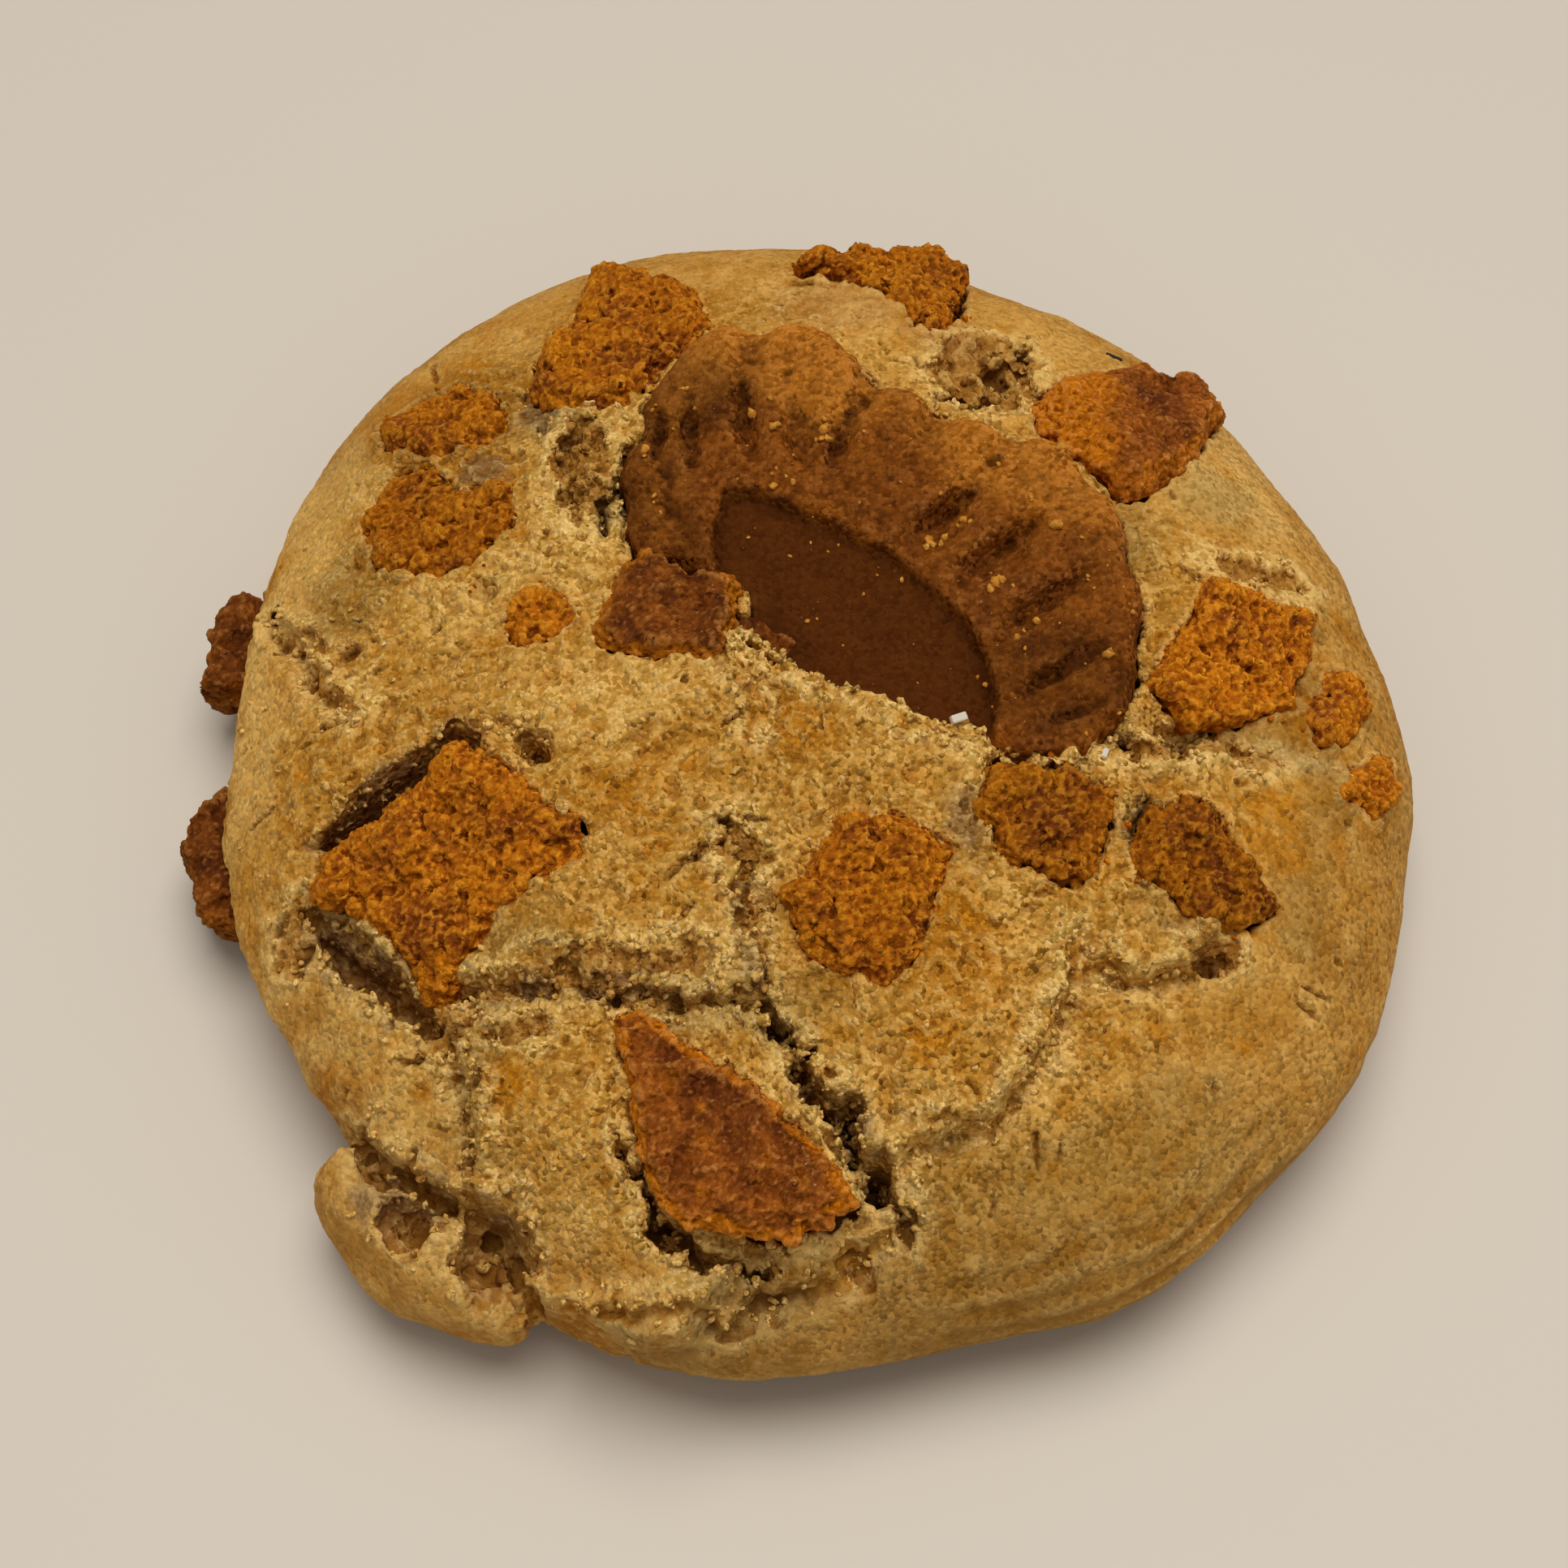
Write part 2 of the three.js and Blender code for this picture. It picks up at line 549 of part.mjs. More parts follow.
// The plan of the half biscuit about its middle with the notches of its rim, drawn in by its edge rounding
function biscuitOutline() {
  const [mx, my] = biscuit.middle;
  const drawnIn = (p, dent) => p.multiplyScalar((p.length() - dent - biscuit.edgeRound) / p.length());
  const rim = biscuit.rim.map(([x, y]) => new THREE.Vector3(x - mx, y - my, 0));
  const rimCurve = new THREE.CatmullRomCurve3(rim);
  const points = [];
  for (let i = 0; i <= biscuit.rimSteps; i++) {
    const p = rimCurve.getPointAt(i / biscuit.rimSteps);
    const gap = Math.min(...biscuit.notches.map(([x, y]) => Math.hypot(x - mx - p.x, y - my - p.y)));
    points.push(drawnIn(p, biscuit.notchDepth * Math.exp(-((gap / biscuit.notchReach) ** 2))));
  }
  for (const [x, y] of biscuit.brokenEdge) points.push(drawnIn(new THREE.Vector3(x - mx, y - my, 0), 0));
  return new THREE.Shape(points.map((p) => new THREE.Vector2(p.x, p.y)).reverse());
}

function biscuitForm() {
  const { edgeRound, thick, panelDepth, middle } = biscuit;
  const slab = new THREE.ExtrudeGeometry(biscuitOutline(), {
    depth: thick - 2 * edgeRound, bevelThickness: edgeRound, bevelSize: edgeRound, bevelSegments: 2,
  });
  slab.translate(0, 0, edgeRound - thick);
  let solid = solidOf(slab);
  const panelPlan = new THREE.Shape(
    biscuit.panel.map(([x, y]) => new THREE.Vector2(x - middle[0], y - middle[1])).reverse(),
  );
  const recess = new THREE.ExtrudeGeometry(panelPlan, { depth: thick, bevelEnabled: false });
  recess.translate(0, 0, -panelDepth);
  solid = solid.subtract(solidOf(recess));
  for (const { from, to, width, depth } of biscuit.creases) {
    const run = Math.hypot(to[0] - from[0], to[1] - from[1]);
    const groove = new THREE.SphereGeometry(1, 8, 6).scale(run / 2 + 0.6, width / 2, depth);
    groove.rotateZ(Math.atan2(to[1] - from[1], to[0] - from[0]));
    groove.translate((from[0] + to[0]) / 2 - middle[0], (from[1] + to[1]) / 2 - middle[1], 0);
    solid = solid.subtract(solidOf(groove));
  }
  return geometryOf(wholeOf(solid));
}

const biscuitTurn = new THREE.Euler(
  THREE.MathUtils.degToRad(biscuit.leanBack), THREE.MathUtils.degToRad(biscuit.leanSide), 0,
);

function biscuitSocket() {
  const { edgeRound, thick } = biscuit;
  const room = new THREE.ExtrudeGeometry(biscuitOutline(), {
    depth: thick + openHeight,
    bevelThickness: fitGap, bevelSize: 0, bevelOffset: edgeRound + fitGap, bevelSegments: 1,
  });
  room.translate(0, 0, -thick);
  return room.applyQuaternion(new THREE.Quaternion().setFromEuler(biscuitTurn)).translate(...biscuit.middle);
}

// The dough with its knob, cracks and the room for every piece
function doughSolid(seats) {
  let solid = solidOf(doughForm()).add(solidOf(knobForm()));
  const floor = new THREE.BoxGeometry(160, 160, 20).translate(0, 0, -10);
  solid = solid.subtract(solidOf(floor));
  Object.values(cracks).forEach((stops, i) => {
    solid = solid.subtract(solidOf(crackForm(stops, i + 1)));
  });
  for (const crater of craters) solid = solid.subtract(solidOf(craterForm(crater)));
  for (const piece of chunks) solid = solid.subtract(solidOf(socketForm(piece, seats.get(piece.name))));
  return wholeOf(solid.subtract(solidOf(biscuitSocket())));
}

const finish = {
  dough: new THREE.MeshStandardMaterial({ color: 0xc99a52, roughness: 0.85, metalness: 0 }),
  crumb: new THREE.MeshStandardMaterial({ color: 0x9c5a16, roughness: 0.9, metalness: 0 }),
  biscuit: new THREE.MeshStandardMaterial({ color: 0x7d4517, roughness: 0.75, metalness: 0 }),
};

function named(name, geometry, material) {
  const mesh = new THREE.Mesh(geometry, material);
  mesh.name = name;
  return mesh;
}

const cookie = new THREE.Group();
const seats = new Map(chunks.map((piece) => [piece.name, seatOf(piece)]));
cookie.add(named("dough", geometryOf(doughSolid(seats)), finish.dough));

const half = named(biscuit.name, biscuitForm(), finish.biscuit);
half.position.set(...biscuit.middle);
half.rotation.copy(biscuitTurn);
cookie.add(half);

for (const piece of chunks) {
  const seat = seats.get(piece.name);
  const mesh = named(piece.name, chunkForm(piece, seat), finish.crumb);
  mesh.position.copy(seat.position);
  mesh.quaternion.copy(seat.turn);
  cookie.add(mesh);
}

export default cookie;
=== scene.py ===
import json
import math
from collections import namedtuple

import bpy
import numpy as np
from bpy.props import FloatProperty, FloatVectorProperty, IntProperty, PointerProperty
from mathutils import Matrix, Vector
from mathutils.bvhtree import BVHTree
from mathutils.kdtree import KDTree

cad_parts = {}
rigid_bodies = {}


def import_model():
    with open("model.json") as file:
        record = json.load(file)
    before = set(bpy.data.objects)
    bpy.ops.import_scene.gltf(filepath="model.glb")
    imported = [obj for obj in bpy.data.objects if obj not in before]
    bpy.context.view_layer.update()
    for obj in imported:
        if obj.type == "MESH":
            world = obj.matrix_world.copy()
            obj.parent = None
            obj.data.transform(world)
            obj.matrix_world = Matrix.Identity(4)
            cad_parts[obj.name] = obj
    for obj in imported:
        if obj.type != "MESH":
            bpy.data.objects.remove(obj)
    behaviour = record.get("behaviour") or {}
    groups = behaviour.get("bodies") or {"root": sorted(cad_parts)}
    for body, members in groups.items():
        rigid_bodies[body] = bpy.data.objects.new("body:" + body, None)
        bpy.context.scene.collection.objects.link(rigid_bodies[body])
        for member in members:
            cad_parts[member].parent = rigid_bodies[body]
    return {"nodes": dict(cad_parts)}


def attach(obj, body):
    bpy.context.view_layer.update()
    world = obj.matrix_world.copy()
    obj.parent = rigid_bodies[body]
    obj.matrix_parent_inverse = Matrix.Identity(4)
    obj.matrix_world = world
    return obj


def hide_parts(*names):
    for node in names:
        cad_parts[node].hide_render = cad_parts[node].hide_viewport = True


bl_info = {
    "name": "Chunky Biscuit Cookie",
    "version": (1, 0, 0),
    "blender": (4, 5, 0),
    "location": "View3D > Sidebar > Cookie",
    "description": "Bakes a thick cracked cookie with broken biscuit pieces and half a pressed biscuit",
    "category": "Object",
}

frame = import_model()

MM = 0.001
BODY = "root"
MOST_TRIANGLES = 200000

# Rounds of smoothing against which fine and broad relief are measured
RELIEF_TURNS = {"relief_fine": 3, "relief_broad": 24}

# The stage in millimetres: side of the floor, place of the lamp, point that the camera looks at, its sensor
FLOOR_SIDE = 6000
LAMP_PLACE = (60, 200, 800)
CAMERA_TARGET = (-2.2, -1.0, 9.0)
SENSOR = 36

# Colour of the lamp and of the light from all round, as linear values
WARM_LIGHT = (1.0, 0.95, 0.88)

# Where points lie beside a crack: distance from its side in millimetres, below 0 inside it; side of its
# path, 1 left and -1 right; distance along it from its nearer end; share of the way from its middle to its
# side; and its depth
CrackPlace = namedtuple("CrackPlace", "reach side along share depth")

# Broken pieces that show their porous crumb
POROUS_PIECES = [
    "chunk_left_large", "chunk_centre", "chunk_centre_right", "chunk_right_low", "chunk_rear_left",
    "chunk_rear", "chunk_right", "chunk_right_edge_small", "chunk_right_edge", "chunk_left_upper",
    "chunk_left_middle", "chunk_left_small",
]

# Broken pieces that show their smooth baked skin
SKIN_PIECES = [
    "chunk_front_wedge", "chunk_by_biscuit", "chunk_rear_right", "chunk_side_rear", "chunk_side_front",
]

# Cracks and folds of the crust in millimetres: each stop is x, y, width and depth
CRACKS = {
    "deep_split": [
        (-3.8, -24.6, 0.5, 2), (-2.6, -27.4, 0.7, 3.5), (-1.6, -29.8, 0.9, 5), (0.7, -32.2, 1.2, 6.5),
        (3.4, -35.4, 1.3, 7), (5.7, -38.2, 1, 6), (7.1, -39.8, 0.6, 3), (6.4, -41.6, 0.4, 1.4),
    ],
    "split_upward": [
        (-3.8, -24.6, 0.8, 3), (-4.4, -20, 0.6, 2), (-5.3, -16, 0.8, 2.2), (-7.2, -12, 0.5, 1.2),
    ],
    "middle_trench": [
        (-4, -25.4, 0.6, 2), (-8, -25.2, 0.7, 2.4), (-12, -24.8, 0.9, 2.6), (-16, -23.8, 1.2, 2.4),
        (-20, -22.6, 1.1, 2.2), (-25.6, -23.4, 0.7, 1.6),
    ],
    "left_hollow": [
        (-37.6, -16.4, 1.6, 3.5), (-35.6, -18.9, 3.2, 4.5), (-32.6, -21.2, 3.2, 4.8),
        (-29.2, -24, 2, 4.5), (-26.6, -26.6, 1.8, 3.5),
    ],
    "lower_seam": [
        (-26.4, -26.8, 1, 2.4), (-25.4, -30.6, 0.8, 2), (-24.8, -34, 0.8, 2), (-25, -37, 1, 2.4),
    ],
    "arch_seam": [
        (-38, -10, 0.5, 0.4), (-35, -7.8, 0.6, 0.6), (-31.4, -5.2, 0.6, 0.6), (-27.5, -2.7, 0.5, 0.5),
        (-23, -3, 0.4, 0.4), (-20, -4.8, 0.3, 0.3),
    ],
    "left_seam": [(-43, 11.6, 0.8, 1.2), (-40, 7.4, 0.8, 1.2), (-38, 3.2, 1, 1.4), (-35, 0.2, 0.7, 1.2)],
    "right_ledge": [
        (19.2, -19.6, 0.5, 1), (18.2, -23.8, 0.6, 1.4), (17.4, -27.2, 0.5, 1.2), (15.2, -30.6, 0.5, 1.2),
        (12, -33.8, 0.6, 1.4), (6.8, -35.6, 0.8, 2),
    ],
    "right_crumbs": [
        (19.4, -22.6, 0.7, 1.2), (24, -22.8, 0.7, 1.2), (28.4, -21.6, 1, 2), (29.8, -19.6, 1.6, 2.6),
    ],
    "biscuit_seam": [(-6.2, 2, 1, 2.2), (-5.4, -1.4, 1.1, 2), (-5, -5.2, 0.8, 1.6)],
    "side_seam": [(24.4, -4.7, 1, 2), (29.5, -3.4, 1, 1.6), (35.6, -4.2, 0.7, 1.2)],
    "front_fold": [
        (-20.4, -45.4, 1.1, 3), (-14, -46.3, 1.1, 3), (-7, -46, 1.1, 3), (-1.4, -44.7, 1.1, 3),
        (2.6, -42.8, 1.2, 3), (5.2, -40.4, 0.9, 2.5),
    ],
    "wedge_gap": [
        (-13.6, -34.6, 0.5, 3), (-12.6, -38, 0.8, 4.5), (-11, -40.8, 1.1, 4.5), (-8, -42.8, 1.1, 4),
        (-2.6, -43.8, 0.7, 2),
    ],
    "knob_gap": [
        (-35.4, -31, 1.2, 3), (-31, -34.4, 1.5, 4), (-27.6, -37, 1.7, 4.5), (-23.6, -38.8, 2.2, 5.5),
        (-21.6, -42.4, 1.8, 5), (-20, -46, 1.4, 5),
    ],
    "rear_crumbs": [
        (10.6, 27.4, 0.8, 1.2), (13.2, 26.6, 1, 1.4), (15.4, 29.4, 0.8, 1.2), (17.4, 33, 0.6, 1),
    ],
    "biscuit_lip": [
        (-4.6, 2.6, 0.6, 1), (0, -0.6, 0.6, 1), (8, -3.9, 0.6, 1), (16, -6.3, 0.7, 1), (24, -4.4, 0.8, 1),
    ],
}

# Cracks whose torn crumb lies open
OPEN_CRACKS = [
    "deep_split", "split_upward", "middle_trench", "left_hollow", "wedge_gap", "knob_gap", "rear_crumbs",
]

# Cracks whose plates touch, so that only a step and a broken line show
CLOSED_CRACKS = [
    "lower_seam", "left_seam", "right_ledge", "right_crumbs", "biscuit_seam", "side_seam", "front_fold",
    "biscuit_lip",
]

# Open cracks drawn anew with torn edges, steep beside the higher plate and gentle beside the lower one
TORN_CRACKS = ["deep_split", "split_upward", "middle_trench", "arch_seam", "rear_crumbs", "wedge_gap"]

# Height in millimetres of the plate on one side of a crack: above 0 left of its path, below 0 right of it
PLATE_STEPS = {
    "arch_seam": 0.4, "middle_trench": -0.5, "split_upward": 0.8, "right_ledge": -0.7, "front_fold": 1.0,
    "knob_gap": 1.0, "biscuit_seam": -0.8, "side_seam": -0.7, "right_crumbs": 0.7, "biscuit_lip": -0.7,
    "left_seam": 0.6, "lower_seam": 0.9,
}

# How far the crust below the arch lies under the crust above it, in millimetres
ARCH_SLOPE = 0.4

# Filling of narrow cracks in millimetres: how far out a crack is filled, how far out and how far from a
# piece its level is read, how far the slope below the arch reaches, and the height above which this happens
FILL_REACH = 1.4
LEVEL_REACH = 3.2
LEVEL_CLEARANCE = 1.2
SLOPE_REACH = 2.6
FILL_ABOVE = 8

# The share of +Z in a surface's direction above which it counts as facing up
UPWARD = 0.55

# Edge of the pressed biscuit's panel in millimetres
PANEL_EDGE = [
    (-7.4, 9.6), (-7.8, 13.4), (-7, 17), (-4, 16.8), (0, 14.8), (3, 13), (6, 11.3), (9, 8.8), (11.4, 5.8),
    (13.2, 2.4), (13.9, -1.6), (13.2, -9), (-10, -4),
]

# Notches between the lobes of the biscuit's rim in millimetres: outer end, inner end and depth
RIM_NOTCHES = [
    (-4.4, 32.4, -5, 28.4, 0.7), (5, 27.6, 3.8, 24.2, 0.8), (10.8, 24.8, 9, 21.4, 0.7),
    (16.4, 22.4, 14, 18.5, 0.6), (-15.6, 16.6, -12.8, 17, 0.4), (-14.2, 23, -11.6, 22.4, 0.4),
    (22, 17.4, 20, 16, 0.3),
]

# Folds of the pressed biscuit's rim in millimetres: inner end, outer end, width of the gentle side, depth
RIM_FOLDS = [
    (-10.6, 14, -12, 22.2, 1.6, 0.6), (-9.7, 18.5, -9, 23.5, 1.4, 0.5), (-4.7, 19.8, -6, 26.6, 1.6, 0.7),
    (-0.3, 18.5, -1.5, 24.1, 1.6, 0.7), (1.6, 20, 3.1, 24.1, 1.8, 0.8), (8.1, 12.9, 11.4, 15.6, 3, 1.2),
    (12.2, 9.4, 15.8, 12.6, 3.2, 1.2), (15.2, 4.7, 19, 7.8, 3.6, 1.1), (15.9, -1.2, 19.4, 0.6, 3.2, 0.7),
]

# Patches of the crust where it is torn. Each patch is an ellipse in millimetres: middle x and y, half
# length, half width and turn in degrees
TORN_PATCHES = [
    (-15, -22.2, 7, 1.5, 0), (-33.5, -20, 5.4, 1.9, -42), (-18, 20, 2.8, 5, 8), (14, 30.6, 4.6, 4.6, 0),
    (-32, -34.6, 2.4, 1.5, -30), (-30.2, -38.6, 2.2, 1.5, -30), (-24, -41, 2.3, 3.2, -20),
    (-5.6, -14.5, 1.2, 2.2, 8), (28, -4.2, 6, 1.0, 0), (-22.4, -26.4, 2.6, 1.2, 0),
    (29.4, -20.4, 1.8, 1.4, 0), (35, 12.4, 3, 1.4, 0), (-39.6, -17, 1.5, 2, 0),
]

# Small deep holes of the crust, each a patch and its depth in millimetres
PITS = [
    (24.6, -11.4, 2.4, 0.8, 80, 2.6), (29.4, -20.8, 1.1, 0.6, 20, 2), (19.7, -15.6, 1.2, 0.5, 20, 1.6),
    (15.3, 31, 1.1, 0.6, 40, 2.2), (10.8, 27, 1.1, 0.6, -20, 2.2), (13.6, 26.9, 0.8, 0.6, 20, 2),
    (17, 33.6, 0.9, 0.5, 60, 1.6), (-16.2, 15, 0.7, 1.5, 0, 2), (-35.6, 5.1, 0.7, 0.4, 20, 1.4),
    (-40.9, -15.7, 0.7, 0.4, 60, 1.4), (-38.6, -18.4, 1.1, 0.5, 40, 1.6),
    (-8.3, -14.3, 0.9, 0.5, 20, 1.4), (-6.9, -12, 0.6, 0.4, 0, 1.2), (-19.4, 22.6, 0.5, 0.9, 10, 1.4),
    (-33.4, -33.6, 1.3, 0.7, -30, 1.6), (-29.6, -38.8, 1.3, 0.7, -50, 1.6), (22.6, -4.2, 1.4, 0.7, 10, 2),
]

# Patches with a purple grey film, with a pinkish crust and with an orange toasted one
FILM_PATCHES = [
    (-33.4, -7.6, 5.4, 1.3, 40), (-34, -19.9, 5.6, 2.1, -46), (-26.6, 21, 2, 1.8, 0),
    (11.6, -12.3, 1.6, 2.8, 0), (-21.4, 26.2, 1.6, 2, 0), (-31, -37, 3.4, 2.4, -30), (-17, -24, 6, 1, 0),
    (-24, -41, 2, 2.6, 0), (3.2, -34.6, 2.4, 1.2, -50), (-4.6, -22, 0.8, 3, 8),
    # The last patch, in the gap between two pieces, also stands for the shade in that gap
    (24.7, -11.8, 1.2, 2.6, 0),
]
ROSY_PATCHES = [(1.5, 37.2, 5, 3.4, -10), (11, 34, 4, 2.4, -30)]
TOAST_PATCHES = [
    (-13.5, -9, 2.2, 2.6, 0), (-12.6, -5.6, 1.6, 1.2, 0), (10.6, -19.6, 3, 3.2, 20),
    (11.8, -24.6, 3.2, 2.4, 0), (9.2, -28.4, 2.6, 2, 0), (-23, -32, 1.6, 1.8, 0), (-20.6, -43, 3, 1.6, 0),
    (-9.6, -25.6, 1.6, 1.4, 0), (-1, -4, 4, 3, -20), (30.6, -18.6, 2.6, 2.2, 0),
    (-35.6, -28, 2.4, 1.8, 0), (-30, 28, 6, 6, 0), (-40, 4, 2.2, 3, 0), (-17, -46.6, 4, 1.6, 0),
    (26, -8, 2, 1.4, 0), (35, -10, 3, 3, 0), (38, -1, 2, 4, 0),
]

# Paler patches of the crust: partly a paler crust and partly painted light, as on the steep left rim where
# the light falls
CREAM_AND_LIT_PATCHES = [
    (-22, 10.5, 8, 4.5, 20), (-16, -1.5, 6, 4, 0), (-37, -26, 4, 3, -50), (-17.5, -41, 3, 2, 0),
    (5, -1.5, 7, 2, -20), (-40, 20, 4, 8, 0), (33, 26, 6, 8, 0), (3, -38, 2, 2.5, 0), (2, 41, 5, 1.6, 0),
    (-3.2, -34, 1.6, 4, 0), (-44, 4, 4, 11, 0), (-35, -26, 4, 2.6, -40), (2.4, -38.6, 2.6, 2, 0),
    (8, -1.4, 6, 1.6, -18), (19.6, -7.4, 3.4, 1.6, 0), (-33, -31, 3, 3.4, -40),
    (-11.6, -44.6, 4, 1.2, -10),
]
# Darker patches of the crust: painted shade in gaps between and beside the pieces and on the lower right
# wall, some also over a darker crust
PAINTED_SHADE_PATCHES = [
    (18, -40, 17, 6.5, 26), (-27, 27, 7, 5, 0), (24.8, -11.8, 1.6, 3, 0), (-13, 14.5, 2, 3, 0),
    (38, -10, 3, 8, 0), (-36, 12, 3, 4, 0), (-3, -46, 8, 3, 0), (38, -1, 4, 7, 0), (26, -14.6, 1.4, 4, 0),
    (15, -37.4, 9, 3, 10), (24, 13.4, 2.4, 4, 0), (31.8, 19.8, 2.6, 2.4, 0), (-12, -48, 6, 2, 0),
    (-4, -25.8, 6, 1.8, 0), (-26, -29, 2.6, 4.6, 0), (-23, -19.4, 3, 1.8, 0),
]

# Ridges of the crust that have fallen away beside a piece, each a patch and its depth
FALLEN_RIDGES = [(-33.7, -19.2, 6.6, 1.4, -47, 3.2)]

# The foot of the front wall, which is wrinkled
WRINKLED_PATCH = (22, -38, 17, 9, 28)

# Patches where the torn crumb is coarse
COARSE_PATCHES = [(13.6, 30, 4.4, 4.6, 0), (-18, 19.6, 2.6, 5, 8), (-24, -41, 2, 3, -20)]

# Orange biscuit crumbs on the pressed biscuit: x, y and size in millimetres
BISCUIT_CRUMBS = [
    (-9.7, 25.8, 0.45), (-13, 24.1, 0.4), (-5, 23.3, 0.75), (-3.4, 22.4, 0.65), (-12.8, 20.7, 0.6),
    (0.9, 21.3, 0.75), (1.6, 20.8, 0.6), (0.5, 20.6, 0.5), (-3.3, 16.6, 0.6), (-1.7, 16.7, 0.4),
    (-12.2, 16.8, 0.45), (9.4, 12.3, 0.7), (10.2, 12.7, 0.6), (8.6, 11.8, 0.5), (11.3, 14.1, 0.5),
    (13.6, 8.5, 0.8), (14.4, 8.9, 0.6), (13.2, 7.8, 0.5), (17.3, 15.1, 0.4), (18.4, 12.6, 0.7),
    (20.6, 11.3, 0.35), (22.2, 1.3, 0.7), (16.7, 5.2, 0.5), (15.6, 3.5, 0.45), (19.5, 20, 0.8),
    (-0.8, 6.2, 0.4), (12.7, -0.1, 0.45), (24.7, 5.4, 0.4),
]

# Larger crumbs of dough that lie in gaps: x, y and size in millimetres
DOUGH_CRUMBS = [
    (-18.2, -11.2, 0.9), (-18.8, -10.6, 0.6), (-26.2, -25.6, 1), (-25.2, -25.2, 0.7), (-24.4, -26.2, 0.6),
    (-12.6, -42.4, 0.7), (-9.6, -43.6, 0.8), (-6.4, -44.2, 0.6), (-23.4, -40, 0.8), (-24.8, -41.6, 0.7),
    (12.4, 29.6, 0.8), (14.6, 28.4, 0.7), (16.4, 30.4, 0.8), (13.8, 32.4, 0.7), (11.4, 31.4, 0.6),
    (-18, 17.4, 0.8), (-19.6, 20.4, 0.7), (-17.4, 21.8, 0.6), (-3.4, -27, 0.6), (5.4, -36.4, 0.6),
    (30.4, -21, 0.5),
]

# The pressed biscuit's outline and the top of its rim, as patches
BISCUIT_OUTLINE = (5.6, 13.4, 21, 16.5, -38)
RIM_TOP = (6, 13, 17.5, 13, -38)

# The heights in millimetres above which the top of the biscuit and its sides count as its rim
RIM_LEVEL = 19
SIDE_LEVEL = 15

# Paler patches of the biscuit's rim: partly a golden tone and partly painted highlight where the light
# falls
RIM_GOLD_AND_HIGHLIGHT_PATCHES = [(1, 26.6, 6.5, 4.6, -20), (14, 19.4, 9, 3.6, -38), (20, 17.8, 5, 4, -45)]
# Darker patches of the biscuit's rim: partly a browner rim and partly painted shade at its left end and
# over the gap under its broken edge
RIM_BROWN_AND_SHADE_PATCHES = [
    (-13.6, 19, 3.5, 8, 0), (-9, 25, 4, 3, 30), (-9.4, 12, 2.4, 3.6, 0), (18.2, 0.4, 6, 4.6, -10),
    (-4, 5.2, 3.4, 1.4, -28),
]

# How brightly each broken piece is baked, 1 where it isn't named
BAKES = {
    "chunk_centre_right": 0.74, "chunk_right_low": 0.7, "chunk_left_middle": 0.8, "chunk_right": 1.08,
    "chunk_by_biscuit": 0.82, "chunk_rear_right": 1.06, "chunk_front_wedge": 1.08, "chunk_centre": 0.92,
    "chunk_rear": 0.88, "chunk_rear_left": 0.9, "chunk_left_upper": 0.88, "chunk_side_rear": 0.72,
    "chunk_side_front": 0.72,
}

# Smooth pieces of which hardly any porous crumb shows
SMOOTH_PIECES = ["chunk_side_rear", "chunk_side_front"]

# Smooth pieces whose left part is torn
TORN_LEFT = ["chunk_rear_right"]

# How much thinner a piece is than its neighbours, in millimetres
THINNER = {"chunk_rear": 0.4, "chunk_side_rear": 0.35, "chunk_side_front": 0.35}

# Sugar crystals that lie loose: x, y, length and turn in degrees
SUGAR_CRYSTALS = [
    (10.6, -3.4, 1.3, 25), (22.4, -5.6, 0.9, 70), (-19.5, -11.8, 0.5, 10), (-33.2, 5.4, 0.4, 40),
]

# A dark fleck on the crust: x, y, length and turn in degrees
DARK_FLECK = (25.2, 35.6, 1.5, -20)

# A crumb of filling under the pressed biscuit's broken edge: its two ends
FILLING_ENDS = ((-5.6, 5.9), (-1.6, 3.8))


def tone(red, green, blue):
    """A colour as it looks on screen, 0 to 255, as linear values for a shader."""
    shares = [channel / 255 for channel in (red, green, blue)]
    return tuple(s / 12.92 if s <= 0.04045 else ((s + 0.055) / 1.055) ** 2.4 for s in shares)


def colour_property(name, description, shade):
    return FloatVectorProperty(
        name=name, description=description, subtype="COLOR", size=3, min=0, max=1, default=tone(*shade))


def count_property(name, description, number, least=0):
    return IntProperty(name=name, description=description, min=least, default=number)


def length_property(name, description, millimetres):
    return FloatProperty(
        name=name, description=description, unit="LENGTH", subtype="DISTANCE", min=0,
        default=millimetres * MM)


class DoughSettings(bpy.types.PropertyGroup):
    """Sizes and colours of the baked dough"""

    fineness: length_property("Fineness", "Size of the smallest facet of the crust", 0.27)
    most_faces: count_property("Most faces", "Triangles left in the crust", 190000, 1000)
    swell: length_property("Swell", "Height of the soft lumps of the crust", 0.7)
    crag: length_property("Crag", "Height of the torn crumb in cracks and hollows", 1.1)
    lip: length_property("Lip", "How far the torn edges of the crust curl up", 0.25)
    ledges: length_property("Ledges", "Half the height of the ragged ledges of the crust", 0.42)
    grain: length_property("Grain", "Height of the sandy grain", 0.12)
    slits: count_property("Slits", "Short slits and pits in the crust", 150)
    crust: colour_property("Crust", "Plain baked crust", (223, 170, 82))
    crust_dark: colour_property("Crust shade", "Darker mottling of the crust", (202, 144, 52))
    toast: colour_property("Toast", "Orange spots of the crust", (200, 128, 10))
    # Also laid on as painted light where the rim of the crust is lit
    cream: colour_property("Cream", "Paler places of the crust", (246, 200, 112))
    # Also the painted highlight on the raised grain of the crust
    pale: colour_property("Pale edge", "Torn edges of the crust", (248, 208, 126))
    crumb: colour_property("Torn crumb", "Crumb inside cracks and hollows", (178, 124, 52))
    film: colour_property("Film", "Purple grey film where pieces pulled away", (132, 100, 72))
    rosy: colour_property("Rosy crust", "Pinkish crust beside the rear pieces", (196, 144, 80))
    # Also laid on the walls, partly as painted shade
    base: colour_property("Base", "Browned foot of the wall", (140, 88, 34))


